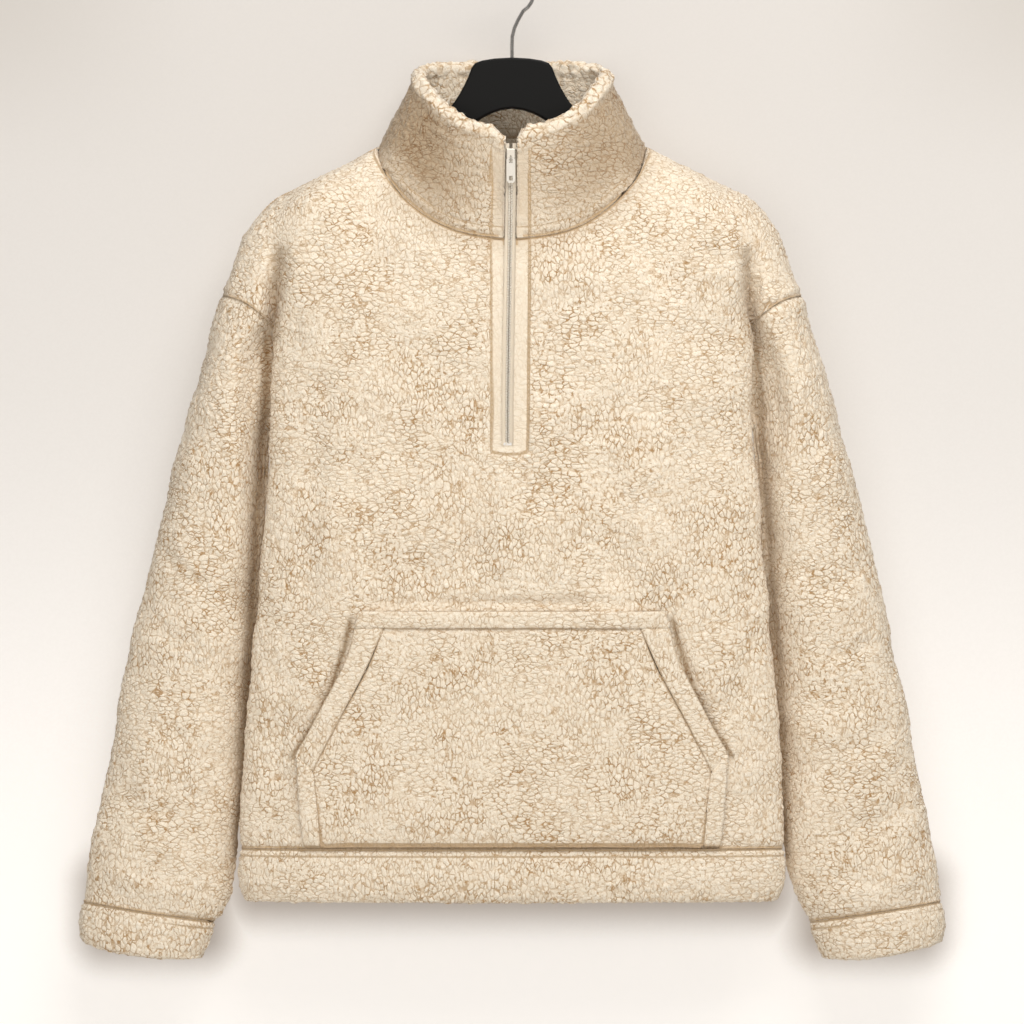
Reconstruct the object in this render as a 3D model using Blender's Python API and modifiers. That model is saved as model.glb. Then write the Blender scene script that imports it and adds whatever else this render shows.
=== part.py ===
"""Half-zip sherpa pullover on a black hanger, modelled as its sewn pieces.

Metres, +Z up, front towards -Y. The origin is where a rail bears inside the hook.
Tables are in millimetres. Heights are measured up from the rail, so they are negative.
"""
import math

import bmesh
import bpy
import numpy as np

MM = 0.001
OBJECT_NAME = "half_zip_sherpa_pullover_on_hanger"

# Cloth, in millimetres.
WALL = 4.5             # fleece with its pile
DOUBLE_WALL = 9.0      # waistband and cuffs, folded over
COLLAR_WALL = 10.0     # stand collar, folded over at the rim
SEAM_GAP = 0.3         # between two pieces at a seam
LAYER_GAP = 0.55       # between a panel and what is sewn on it

# Torso sections: a rounded oblong with a soft fold down each side.
SECTION_POWER = 3.0
SIDE_TUCK = 18.0       # how far the side seam sinks between the folds
TUCK_REACH = 18.0      # depth over which it sinks
TUCK_SHARE = 9.5       # width given back so that the folds keep the outline

CREST_Z = -326.0       # row where the armhole crease meets the armhole seam
UNDERARM_Z = -402.0
SLIT_END_Z = -430.0
HEM_SEAM_Z = -794.0
SLIT_HALF = 5.0

# Columns over half a panel: neck seam, shoulder up to the crease, shoulder beyond it.
NECK_COLUMNS = 6
CHEST_COLUMNS = 7
HEAD_COLUMNS = 5
YOKE_ROWS = 7
ARMHOLE_ROWS = 3
LOWER_ROWS = 12
ARMHOLE_DEPTHS = [14.0, 13.0, 10.0, 0.0]   # the seam's depth from the crease down to the underarm
SLEEVE_ROWS = 16

# height, half-width of the body's outline
BODY_OUTLINE = [(-326, 216), (-416, 218), (-497, 225), (-587, 234), (-659, 241), (-731, 246.6), (-794, 249)]
# height, depth of the front, depth of the back
BODY_DEPTH = [(-326, 57, 46), (-430, 56, 45), (-600, 51, 42), (-794, 46, 39)]
# distance from the centre, height of the front neck seam
FRONT_NECK = [(5, -243), (34, -240), (63, -231), (91, -212), (109, -193), (120, -174), (124, -158)]
# distance from the centre, height of the back neck seam
BACK_NECK = [(0, -149), (50, -149.3), (85, -150), (108, -152), (124, -158)]
# distance from the centre, height of the shoulder seam, to the drop of the sleeve
SHOULDER = [(124, -158), (155, -175), (189, -191), (217.5, -207), (236.5, -226), (248, -250), (257, -276.5),
            (264, -293)]
# distance, height of the dropped armhole seam where it shows, from its top to the crease
ARMHOLE = [(264, -293), (247, -298), (233, -306), (220, -317)]
# distance, height of the sleeve's outer edge
SLEEVE_OUTER = [(264, -293), (278.5, -344), (299, -416), (317, -483), (334, -554), (350, -627), (361, -679),
                (370, -735), (380, -780), (389, -830), (391, -843)]
# distance, height of the sleeve's inner edge, tucked behind the body's fold
SLEEVE_INNER = [(207.5, -402), (214, -406.5), (218.5, -419), (220.5, -447), (223, -497), (230.5, -587),
                (238, -659), (244, -731), (247.5, -780), (250, -811), (262, -853), (269, -862)]
# share of the sleeve's length, half-depth, how far it lies behind the body's middle
SLEEVE_DEPTH = [(0.0, 37, 0), (0.12, 38, 5), (0.3, 37, 9), (0.6, 33, 9), (1.0, 26, 6)]
# share of the cuff, outer distance, outer height, inner distance, inner height, half-depth
CUFF = [(0.0, 391, -843, 269, -862, 26), (0.16, 392.5, -850, 270.5, -868.5, 26.5),
        (0.55, 394.5, -866, 275, -881, 27), (0.9, 392.5, -877, 280.5, -892.5, 25.5)]
# height, added width, added depth of the waistband's outside
WAISTBAND = [(-794, 0, 0), (-800.5, 0.4, 0.6), (-815, 0.8, 1.8), (-829, 0, 1.2), (-838, -3.5, -1)]
# distance, depth, height of the collar's rim, front centre round to back centre
COLLAR_RIM = [(5, -58, -151), (30, -56.5, -146), (57, -48, -133), (77, -31, -113), (88, -10, -97),
              (90, 9, -92), (83, 30, -88), (65, 43, -85.5), (36, 50, -84.5), (0, 52, -84)]

# Kangaroo pocket.
# height, half-width of the centre panel
POCKET_PANEL = [(-594.5, 115.5), (-631, 129.5), (-661, 146), (-687, 160.5), (-711, 173), (-724, 179),
                (-745, 176.5), (-766, 174), (-791, 172)]
# distance and height on the outer edge, then on the inner edge, of the slanted opening
POCKET_OPENING = [(140.5, -594.5, 116, -594.5), (148, -621, 128, -624), (158, -642, 141, -650),
                  (169, -663, 154, -674), (181, -686, 167, -699), (193, -708, 179.8, -724)]
# the same for the short strip below it
POCKET_SIDE = [(193.2, -709, 179.4, -725.5), (191.8, -735, 177, -746), (190, -762, 174.8, -768),
               (187, -791, 172.5, -791)]
POCKET_TOP_Z = -580.0
POCKET_TOP_HALF = 137.0
POCKET_TOP_HEM = 14.0
POCKET_WALL = 4.0
POCKET_HEM_WALL = 5.5

# Broad soft folds of the front: distance at the top, at the hem, width, height of the fold.
FRONT_FOLDS = [(-150, -182, 34, 2.4), (-66, -78, 30, 2.0), (28, 20, 26, 1.8), (96, 128, 32, 2.6)]

# Zip.
CHAIN_HALF = 2.75
CHAIN_FRONT = 2.4      # depth behind the cloth's face
CHAIN_BACK = 5.5
TAPE_FRONT = 4.85
TAPE_THICK = 0.8
TAPE_HALF = 16.0
ZIP_TOP_Z = -158.0
ZIP_END_Z = -440.0
SLIDER_TOP_Z = -163.0
SLIDER_END_Z = -176.0
SLIDER_HALF = 4.0
SLIDER_FRONT = 0.3
SLIDER_BACK = 7.1
PIVOT_Z = -172.0
PIVOT_OUT = 1.2        # pivot in front of the cloth's face
TAB_END_Z = -194.0
TAB_THICK = 1.2
TAB_HALF = 3.9

# Hanger.
HANGER_THICK = 15.0
WIRE_RADIUS = 1.8
HOOK_RADIUS = 19.8     # to the wire's centre, so that the rail side touches the origin
# distance, height of the hanger's top edge
HANGER_TOP = [(0, -77.5), (16, -78.4), (27, -80.2), (33.5, -82.6), (36.8, -87), (40, -95.6),
              (43.5, -103), (47.5, -110.5), (52, -117.5), (57.5, -124.2), (64, -131), (72, -138.5),
              (84, -148.5), (98, -158.5), (118, -167.5)]
# distance, height of the hanger's lower edge
HANGER_LOWER = [(0, -123.5), (10, -124.9), (19, -128), (26, -131.5), (33, -135.7), (40, -140.7),
                (49, -148), (60, -157), (74, -168), (104, -187), (150, -206), (200, -226), (208, -227)]
HANGER_DROP = 8.2      # arm's top edge below the shoulder seam
HANGER_REACH = 209.0


for old in list(bpy.data.objects):
    bpy.data.objects.remove(old, do_unlink=True)

parts = bpy.data.collections.new(OBJECT_NAME)
cutters = bpy.data.collections.new("cutters")
bpy.context.scene.collection.children.link(parts)
bpy.context.scene.collection.children.link(cutters)


def make_material(name, colour, roughness, metallic=0.0):
    """Give one Principled material."""
    material = bpy.data.materials.new(name)
    material.use_nodes = True
    shader = material.node_tree.nodes["Principled BSDF"]
    shader.inputs["Base Color"].default_value = (*colour, 1.0)
    shader.inputs["Roughness"].default_value = roughness
    shader.inputs["Metallic"].default_value = metallic
    material.diffuse_color = (*colour, 1.0)
    return material


FLEECE = (0.76, 0.64, 0.48)


def ramp(value, low, high):
    """Ease from 0 at low to 1 at high."""
    share = np.clip((value - low) / (high - low), 0.0, 1.0)
    return share * share * (3.0 - 2.0 * share)


def smooth_read(rows, at, column=1):
    """Read a table at a value of its first column, along a smooth curve through its rows."""
    table = sorted(rows)
    keys = np.array([row[0] for row in table], float)
    values = np.array([row[column] for row in table], float)
    at = np.clip(np.asarray(at, float), keys[0], keys[-1])
    steps = np.diff(values) / np.diff(keys)
    slopes = np.concatenate([[steps[0]], (steps[:-1] + steps[1:]) / 2, [steps[-1]]])
    low = np.clip(np.searchsorted(keys, at) - 1, 0, len(keys) - 2)
    width = keys[low + 1] - keys[low]
    t = (at - keys[low]) / width
    return ((2 * t**3 - 3 * t**2 + 1) * values[low] + (t**3 - 2 * t**2 + t) * width * slopes[low]
            + (3 * t**2 - 2 * t**3) * values[low + 1] + (t**3 - t**2) * width * slopes[low + 1])


def along(points, shares):
    """Give the points at these shares of the length of a smooth curve through the points."""
    points = np.array(points, float)
    length = np.concatenate([[0.0], np.cumsum(np.linalg.norm(np.diff(points, axis=0), axis=1))])
    length /= length[-1]
    shares = np.asarray(shares, float)
    return np.stack([smooth_read([(k, v) for k, v in zip(length, points[:, axis])], shares)
                     for axis in range(points.shape[1])], axis=-1)


def outline_distance(x, z, outline):
    """Give the distance from a point to a line of points."""
    line = np.array(outline, float)
    best = 1e9
    for start, end in zip(line[:-1], line[1:]):
        step = end - start
        share = np.clip(((x - start[0]) * step[0] + (z - start[1]) * step[1]) / step.dot(step), 0.0, 1.0)
        gap = math.hypot(x - start[0] - share * step[0], z - start[1] - share * step[1])
        best = min(best, gap)
    return best


FRONT_LINE = [(0, -150), (60, -151)] + SHOULDER + SLEEVE_OUTER[1:3]
BACK_LINE = [(0, -97), (40, -103), (70, -117), (100, -136)] + SHOULDER + SLEEVE_OUTER[1:3]


def fold_height(x, z):
    """Give how far the front's broad folds stand out at a place."""
    total = 0.0
    share = ramp(-z, 330, 794)
    for top, hem, width, height in FRONT_FOLDS:
        middle = top + (hem - top) * share
        total += height * math.exp(-((x - middle) / width) ** 2)
    return total * ramp(-z, 440, 540) * (1.0 - 0.5 * ramp(-z, 545, 620))


def yoke_depth(x, z, front):
    """Give how far the cloth over the shoulders and upper chest stands off the middle plane."""
    away = abs(x)
    far = outline_distance(away, z, FRONT_LINE if front else BACK_LINE)
    if front:
        near_neck = math.sqrt(1.0 - (1.0 - min(far / 150.0, 1.0)) ** 2)
    else:
        near_neck = math.sqrt(1.0 - (1.0 - min(far / 52.0, 1.0)) ** 2)
    at_shoulder = math.sqrt(1.0 - (1.0 - min(far / 42.0, 1.0)) ** 2)
    rounding = near_neck + (at_shoulder - near_neck) * ramp(away, 118, 190)
    chest, head = (57.0, 38.0) if front else (46.0, 34.0)
    plateau = chest + (head - chest) * ramp(away, 150, 235)
    crease_depth = (19.0 if front else 13.0) * ramp(-z, 232, 318)
    crease = crease_depth * math.exp(-((away - 215.5) / 8.5) ** 2)
    return rounding * (plateau - crease)


def torso_section(z, front, extra_width=0.0, extra_depth=0.0, side=1):
    """Give the outer line of half a torso section, from its centre to the side seam."""
    half = float(smooth_read(BODY_OUTLINE, z)) + extra_width
    depth = float(smooth_read(BODY_DEPTH, z, 1 if front else 2)) + extra_depth
    if not front:
        half -= 1.5
    turn = np.linspace(math.pi / 2, 0.0, 160)
    x = (half + TUCK_SHARE) * np.cos(turn) ** (2 / SECTION_POWER)
    y = depth * np.sin(turn) ** (2 / SECTION_POWER)
    x -= SIDE_TUCK * np.exp(-((y / TUCK_REACH) ** 2))
    if front:
        x_signed = side * x
        y = y + np.array([fold_height(value, z) for value in x_signed]) * ramp(y, 24, 44)
    return x, (-y if front else y)


# Columns as shares of a half section's length, closer together round the side fold.
COLUMN_SHARES = [0, 0.10, 0.20, 0.30, 0.40, 0.50, 0.60, 0.69, 0.77, 0.84, 0.89, 0.93, 0.966, 1.0]
FOLD_COLUMN = 10


def section_points(z, front, end_depth=0.0, side=1, extra_width=0.0, extra_depth=0.0):
    """Give the columns' points on one side of a torso section, from the centre outwards."""
    x, y = torso_section(z, front, extra_width, extra_depth, side)
    whole = float(np.hypot(np.diff(x), np.diff(y)).sum()) - (SLIT_HALF if front else 0.0)
    keep = np.abs(y) >= end_depth - 1e-9
    x_end = np.interp(end_depth, np.abs(y)[::-1], x[::-1])
    x = np.append(x[keep], x_end)
    y = np.append(y[keep], -end_depth if front else end_depth)
    start = SLIT_HALF if front else 0.0
    inside = x > start
    y_start = np.interp(start, x[:60], y[:60])
    x = np.concatenate([[start], x[inside]])
    y = np.concatenate([[y_start], y[inside]])
    length = np.concatenate([[0.0], np.cumsum(np.hypot(np.diff(x), np.diff(y)))])
    want = np.array(COLUMN_SHARES) * whole
    fold = np.array(COLUMN_SHARES[FOLD_COLUMN:])
    fold = (fold - fold[0]) / (fold[-1] - fold[0])
    want[FOLD_COLUMN:] = want[FOLD_COLUMN] + (length[-1] - want[FOLD_COLUMN]) * fold
    return np.interp(want, length, x), np.interp(want, length, y)


def coons(top, bottom, left, right):
    """Fill a grid of points between four edge lines. Rows run from top to bottom."""
    rows = len(left)
    columns = len(top)
    grid = np.zeros((rows, columns, top.shape[1]))
    for i in range(rows):
        v = i / (rows - 1)
        for k in range(columns):
            u = k / (columns - 1)
            corner = ((1 - u) * (1 - v) * top[0] + u * (1 - v) * top[-1]
                      + (1 - u) * v * bottom[0] + u * v * bottom[-1])
            grid[i, k] = (1 - v) * top[k] + v * bottom[k] + (1 - u) * left[i] + u * right[i] - corner
    return grid


class Skin:
    """The garment's whole outer surface, with seam points shared by the pieces they join."""

    def __init__(self):
        self.points = []
        self.index = {}
        self.faces = {}

    def point(self, key, xyz):
        """Add a point under a key, or give the one already there."""
        if key not in self.index:
            self.index[key] = len(self.points)
            self.points.append(np.array(xyz, float))
        return self.index[key]

    def face(self, piece, corners, flip):
        """Add a face to a piece, wound so that it faces outwards."""
        if flip:
            corners = corners[::-1]
        self.faces.setdefault(piece, []).append(tuple(corners))

    def normals(self):
        """Give each point the direction halfway between all the cloth round it."""
        points = np.array(self.points)
        total = np.zeros_like(points)
        for faces in self.faces.values():
            for face in faces:
                ring = points[list(face)]
                across = np.cross(ring[2] - ring[0], ring[3] - ring[1])
                across /= np.linalg.norm(across)
                for k, corner in enumerate(face):
                    one = ring[(k + 1) % 4] - ring[k]
                    two = ring[k - 1] - ring[k]
                    lean = one @ two / (np.linalg.norm(one) * np.linalg.norm(two))
                    total[corner] += across * math.acos(max(-1.0, min(1.0, lean)))
        return total / np.linalg.norm(total, axis=1, keepdims=True)


skin = Skin()


def slit_shift(z):
    """Give the small sideways lean of the zip down its length."""
    return -1.0 - 3.0 * float(ramp(-z, 160, 430))


def panel_key(front, side, row, column):
    """Name a panel's point, with seam points named alike from both pieces."""
    if row == 0 and column >= NECK_COLUMNS:
        return ("shoulder", side, column)
    if row >= YOKE_ROWS + ARMHOLE_ROWS and column == NECK_COLUMNS + CHEST_COLUMNS:
        return ("side", side, row)
    if not front and column == 0:
        return ("back_centre", row)
    return ("front" if front else "back", side, row, column)


def yoke_grid(front, side):
    """Give the yoke's two grids of points: neck and chest, then the part over the crease."""
    last = NECK_COLUMNS + CHEST_COLUMNS
    neck_line = FRONT_NECK if front else BACK_NECK
    neck = along(neck_line, np.linspace(0, 1, NECK_COLUMNS + 1))
    shoulder_z = [point for point in SHOULDER if point[0] < 216] + [(216, -204.8)]
    chest_line = along(shoulder_z, np.linspace(0, 1, CHEST_COLUMNS + 1))
    top = np.concatenate([neck, chest_line[1:]])
    x_low, y_low = section_points(CREST_Z, front, ARMHOLE_DEPTHS[0], side)
    bottom = np.stack([x_low, np.full_like(x_low, CREST_Z)], axis=-1)
    down = np.linspace(0, 1, YOKE_ROWS + 1) ** 1.7
    left = top[0] + down[:, None] * (bottom[0] - top[0])
    right = top[-1] + down[:, None] * (bottom[-1] - top[-1])
    flat = np.zeros((YOKE_ROWS + 1, last + 1, 2))
    for i, share in enumerate(down):
        for k in range(last + 1):
            u = k / last
            corner = ((1 - u) * (1 - share) * top[0] + u * (1 - share) * top[-1]
                      + (1 - u) * share * bottom[0] + u * share * bottom[-1])
            flat[i, k] = ((1 - share) * top[k] + share * bottom[k]
                          + (1 - u) * left[i] + u * right[i] - corner)
    sign = -1.0 if front else 1.0
    depth = np.zeros(flat.shape[:2])
    for k in range(last + 1):
        miss = abs(y_low[k]) - yoke_depth(flat[-1, k, 0], CREST_Z, front)
        for i in range(YOKE_ROWS + 1):
            depth[i, k] = yoke_depth(flat[i, k, 0], flat[i, k, 1], front) + miss * down[i] ** 2
    depth[0, NECK_COLUMNS:] = 0.0

    beyond = [(216, -204.8)] + [point for point in SHOULDER if point[0] > 216]
    head_top = along(beyond, np.linspace(0, 1, HEAD_COLUMNS + 1))
    seam_end = tuple(flat[-1, last])
    seam = along(ARMHOLE + [seam_end], np.concatenate([np.linspace(0, 0.52, YOKE_ROWS + 1),
                                                       np.linspace(0.52, 1, HEAD_COLUMNS + 1)[1:]]))
    head_right = seam[:YOKE_ROWS + 1]
    head_bottom = seam[YOKE_ROWS:][::-1]
    head_flat = coons(head_top, head_bottom, flat[:, last], head_right)
    head_depth = np.zeros(head_flat.shape[:2])
    for i in range(YOKE_ROWS + 1):
        miss = depth[i, last] - yoke_depth(flat[i, last, 0], flat[i, last, 1], front)
        for k in range(HEAD_COLUMNS + 1):
            fade = (1.0 - k / HEAD_COLUMNS) ** 2
            head_depth[i, k] = yoke_depth(head_flat[i, k, 0], head_flat[i, k, 1], front) + miss * fade
    head_depth[0, :] = 0.0
    return flat, sign * depth, head_flat, sign * head_depth


def panel_points(front, side):
    """Give the index of each of a half panel's points, by row and column."""
    last = NECK_COLUMNS + CHEST_COLUMNS
    flat, depth, head_flat, head_depth = yoke_grid(front, side)
    grid = {}
    for i in range(YOKE_ROWS + 1):
        for k in range(last + 1):
            x, z = flat[i, k]
            grid[i, k] = skin.point(panel_key(front, side, i, k), (side * x, depth[i, k], z))
        for k in range(1, HEAD_COLUMNS + 1):
            x, z = head_flat[i, k]
            key = panel_key(front, side, i, last + k)
            grid[i, last + k] = skin.point(key, (side * x, head_depth[i, k], z))
    heights = list(np.linspace(CREST_Z, UNDERARM_Z, ARMHOLE_ROWS + 1)[1:])
    heights += list(np.linspace(SLIT_END_Z, HEM_SEAM_Z, LOWER_ROWS + 1))
    for n, z in enumerate(heights):
        row = YOKE_ROWS + 1 + n
        end_depth = ARMHOLE_DEPTHS[min(n + 1, ARMHOLE_ROWS)]
        x, y = section_points(z, front, end_depth, side)
        for k in range(last + 1):
            grid[row, k] = skin.point(panel_key(front, side, row, k), (side * x[k], y[k], z))
    return grid


def add_panel(piece, front):
    """Add the front or back panel to the skin, both halves."""
    last = NECK_COLUMNS + CHEST_COLUMNS
    rows = YOKE_ROWS + ARMHOLE_ROWS + 1 + LOWER_ROWS
    grids = {}
    for side in (-1, 1):
        grid = panel_points(front, side)
        grids[side] = grid
        flip = front == (side > 0)
        for i in range(rows):
            wide = last + HEAD_COLUMNS if i < YOKE_ROWS else last
            for k in range(wide):
                corners = [grid[i, k], grid[i, k + 1], grid[i + 1, k + 1], grid[i + 1, k]]
                skin.face(piece, corners, flip)
    if front:
        slit_row = YOKE_ROWS + ARMHOLE_ROWS + 1
        for i in range(rows + 1):
            for side in (-1, 1):
                point = skin.points[grids[side][i, 0]]
                point[0] += slit_shift(point[2])
            if i >= slit_row and i < rows:
                left, right = grids[-1], grids[1]
                skin.face(piece, [left[i, 0], right[i, 0], right[i + 1, 0], left[i + 1, 0]], True)
    return grids


front_grids = add_panel("body_front", True)
back_grids = add_panel("body_back", False)


def armhole_ring(side):
    """Give the seam's points from the shoulder, down the front, and back up behind."""
    last = NECK_COLUMNS + CHEST_COLUMNS
    ring = []
    for grid in (front_grids[side], back_grids[side]):
        half = [grid[i, last + HEAD_COLUMNS] for i in range(YOKE_ROWS + 1)]
        half += [grid[YOKE_ROWS, last + k] for k in range(HEAD_COLUMNS - 1, -1, -1)]
        half += [grid[YOKE_ROWS + n, last] for n in range(1, ARMHOLE_ROWS + 1)]
        ring.append(half)
    return ring[0] + ring[1][-2:0:-1]


def ring_frame(outer, inner):
    """Give a ring's centre, half-length and direction in the front view."""
    outer = np.array(outer, float)
    inner = np.array(inner, float)
    centre = (outer + inner) / 2
    half = np.linalg.norm(outer - inner) / 2
    return centre, half, (outer - inner) / (2 * half)


def add_sleeve(side):
    """Loft one sleeve from the armhole seam to the cuff seam, and the cuff beyond it."""
    name = "left" if side < 0 else "right"
    ring = armhole_ring(side)
    count = len(ring)
    start = np.array([skin.points[n] for n in ring])
    start[:, 0] *= side
    centre, half, axis = ring_frame(SLEEVE_OUTER[0], (start[count // 2, 0], start[count // 2, 2]))
    across = np.array([-axis[1], axis[0]])
    flat = start[:, [0, 2]] - centre
    start_along = flat @ axis / half
    start_off = flat @ across
    start_depth = start[:, 1] / SLEEVE_DEPTH[0][1]
    steps = np.linalg.norm(np.diff(np.vstack([start, start[:1]]), axis=0), axis=1)
    walked = np.concatenate([[0.0], np.cumsum(steps)])
    first = count // 2
    turn_start = np.zeros(count)
    for n in range(count):
        if n <= first:
            turn_start[n] = math.pi * walked[n] / walked[first]
        else:
            turn_start[n] = math.pi * (1 + (walked[n] - walked[first]) / (walked[-1] - walked[first]))
    turn_even = np.arange(count) * 2 * math.pi / count
    rings = [ring]
    for row in range(1, SLEEVE_ROWS + 1):
        share = (row / SLEEVE_ROWS) ** 1.15
        outer = along(SLEEVE_OUTER, [share])[0]
        inner = along(SLEEVE_INNER, [share])[0]
        centre, half, axis = ring_frame(outer, inner)
        across = np.array([-axis[1], axis[0]])
        depth = float(smooth_read(SLEEVE_DEPTH, share, 1))
        behind = float(smooth_read(SLEEVE_DEPTH, share, 2))
        even = float(ramp(share, 0.0, 0.22))
        turn = turn_start + (turn_even - turn_start) * even
        new_along = start_along * (1 - even) + np.cos(turn) * even
        new_depth = start_depth * (1 - even) - np.sign(np.sin(turn)) * np.abs(np.sin(turn)) ** 1.15 * even
        new_off = start_off * (1 - even) ** 2
        ids = []
        for n in range(count):
            x, z = centre + axis * half * new_along[n] + across * new_off[n]
            ids.append(skin.point(("sleeve", side, row, n), (side * x, behind + depth * new_depth[n], z)))
        rings.append(ids)
    for upper, lower in zip(rings[:-1], rings[1:]):
        for n in range(count):
            m = (n + 1) % count
            skin.face("sleeve_" + name, [upper[n], upper[m], lower[m], lower[n]], side < 0)

    behind = SLEEVE_DEPTH[-1][2]
    cuff_rings = [rings[-1]]
    for row, (_, outer_x, outer_z, inner_x, inner_z, depth) in enumerate(CUFF[1:], start=1):
        centre, half, axis = ring_frame((outer_x, outer_z), (inner_x, inner_z))
        ids = []
        for n in range(count):
            x, z = centre + axis * half * math.cos(turn_even[n])
            rise = math.sin(turn_even[n])
            y = behind - math.copysign(abs(rise) ** 1.1, rise) * depth
            z -= 4.0 * CUFF[row][0] * rise * rise
            ids.append(skin.point(("cuff", side, row, n), (side * x, y, z)))
        cuff_rings.append(ids)
    for upper, lower in zip(cuff_rings[:-1], cuff_rings[1:]):
        for n in range(count):
            m = (n + 1) % count
            skin.face("cuff_" + name, [upper[n], upper[m], lower[m], lower[n]], side < 0)
    return cuff_rings


cuff_rings = {side: add_sleeve(side) for side in (-1, 1)}


def hem_ring(row):
    """Give the hem seam's points all round: front from left to right, then the back."""
    last = NECK_COLUMNS + CHEST_COLUMNS
    left, right = front_grids[-1], front_grids[1]
    ring = [left[row, k] for k in range(last, -1, -1)] + [right[row, k] for k in range(last + 1)]
    left, right = back_grids[-1], back_grids[1]
    ring += [right[row, k] for k in range(last - 1, -1, -1)] + [left[row, k] for k in range(1, last)]
    return ring


def add_waistband():
    """Add the waistband's outer rows below the hem seam."""
    last = NECK_COLUMNS + CHEST_COLUMNS
    rows = YOKE_ROWS + ARMHOLE_ROWS + 1 + LOWER_ROWS
    rings = [hem_ring(rows)]
    for n, (z, extra_width, extra_depth) in enumerate(WAISTBAND[1:], start=1):
        ring = []
        for front, order in ((True, (-1, 1)), (False, (1, -1))):
            for place, side in enumerate(order):
                x, y = section_points(z, front, 0.0, side, extra_width, extra_depth)
                columns = range(last, -1, -1) if place == 0 else range(last + 1)
                if not front:
                    columns = range(last - 1, -1, -1) if place == 0 else range(1, last)
                for k in columns:
                    shift = slit_shift(z) if front and k == 0 else 0.0
                    ring.append(skin.point(("band", n, front, side, k), (side * x[k] + shift, y[k], z)))
        rings.append(ring)
    count = len(rings[0])
    for upper, lower in zip(rings[:-1], rings[1:]):
        for k in range(count):
            m = (k + 1) % count
            skin.face("waistband", [upper[k], upper[m], lower[m], lower[k]], True)
    return rings


waistband_rings = add_waistband()


def add_collar():
    """Add the collar's outer rows from the neck seam to the rim."""
    base = [front_grids[-1][0, k] for k in range(NECK_COLUMNS + 1)]
    base += [back_grids[-1][0, k] for k in range(NECK_COLUMNS - 1, -1, -1)]
    base += [back_grids[1][0, k] for k in range(1, NECK_COLUMNS + 1)]
    base += [front_grids[1][0, k] for k in range(NECK_COLUMNS - 1, -1, -1)]
    half = along(COLLAR_RIM, np.linspace(0, 1, 2 * NECK_COLUMNS + 1))
    rim = [(-x, y, z) for x, y, z in half] + [(x, y, z) for x, y, z in half[-2::-1]]
    rows = [base]
    for n, share in enumerate((0.12, 0.42, 0.74, 1.0), start=1):
        ids = []
        for k, (low, top) in enumerate(zip(base, rim)):
            start = skin.points[low]
            end = np.array(top)
            if k in (0, len(rim) - 1):
                end[0] += slit_shift(end[2])
            place = start + (end - start) * share
            out = np.array([place[0], place[1] - 2.0, 0.0])
            place = place + out / np.linalg.norm(out) * 1.5 * math.sin(math.pi * share)
            if k in (0, len(rim) - 1):
                place[0] = math.copysign(SLIT_HALF, start[0] - slit_shift(start[2])) + slit_shift(place[2])
            ids.append(skin.point(("collar", n, k), place))
        rows.append(ids)
    for lower, upper in zip(rows[:-1], rows[1:]):
        for k in range(len(base) - 1):
            skin.face("collar", [lower[k], upper[k], upper[k + 1], lower[k + 1]], False)
    return rows


collar_rows = add_collar()
skin_normals = skin.normals()
skin_points = np.array(skin.points)
for arm in (-1, 1):
    underarm = skin.index[("side", arm, YOKE_ROWS + ARMHOLE_ROWS)]
    skin_normals[underarm] = (0.28 * arm, 0.0, -0.96)


def new_part(name, points, faces, colour, roughness=0.95, metallic=0.0):
    """Make an object from points in millimetres, with its faces turned outwards."""
    mesh = bpy.data.meshes.new(name)
    mesh.from_pydata([tuple(np.array(p, float) * MM) for p in points], [], faces)
    work = bmesh.new()
    work.from_mesh(mesh)
    bmesh.ops.recalc_face_normals(work, faces=work.faces)
    work.to_mesh(mesh)
    work.free()
    mesh.shade_smooth()
    mesh.set_sharp_from_angle(angle=math.radians(40))
    mesh.materials.append(make_material(name, colour, roughness, metallic))
    part = bpy.data.objects.new(name, mesh)
    parts.objects.link(part)
    return part


def edge_directions(faces):
    """Give each edge point of a piece the direction that leads into the piece."""
    owners = {}
    for face in faces:
        for a, b in zip(face, face[1:] + face[:1]):
            owners[(a, b)] = face
    found = {}
    for (a, b), face in owners.items():
        if (b, a) in owners:
            continue
        corners = skin_points[list(face)]
        normal = np.cross(corners[2] - corners[0], corners[3] - corners[1])
        inward = np.cross(normal, skin_points[b] - skin_points[a])
        inward /= np.linalg.norm(inward)
        for n in (a, b):
            found[n] = found.get(n, np.zeros(3)) + inward
    return {n: total / np.linalg.norm(total) for n, total in found.items()}


edge_ways = {piece: edge_directions(faces) for piece, faces in skin.faces.items()}


def seam_inset(piece, gap):
    """Part a piece's edge points from the pieces they are sewn to, by half a seam's gap."""
    places = {}
    for n, way in edge_ways[piece].items():
        others = [ways[n] for name, ways in edge_ways.items() if name != piece and n in ways]
        away = way - sum(others) / max(len(others), 1)
        away /= np.linalg.norm(away)
        share = 0.5 if len(others) < 2 else 0.8
        places[n] = skin_points[n] + away * gap * share
    return places


def wall_at(n):
    """Give the fleece's thickness at a point. It is pressed thinner at the underarm."""
    x, y, z = skin_points[n]
    far = math.dist((abs(x), y, z), (207.5, 0.0, UNDERARM_Z))
    return WALL * (0.45 + 0.55 * float(ramp(far, 12, 80)))


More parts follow.
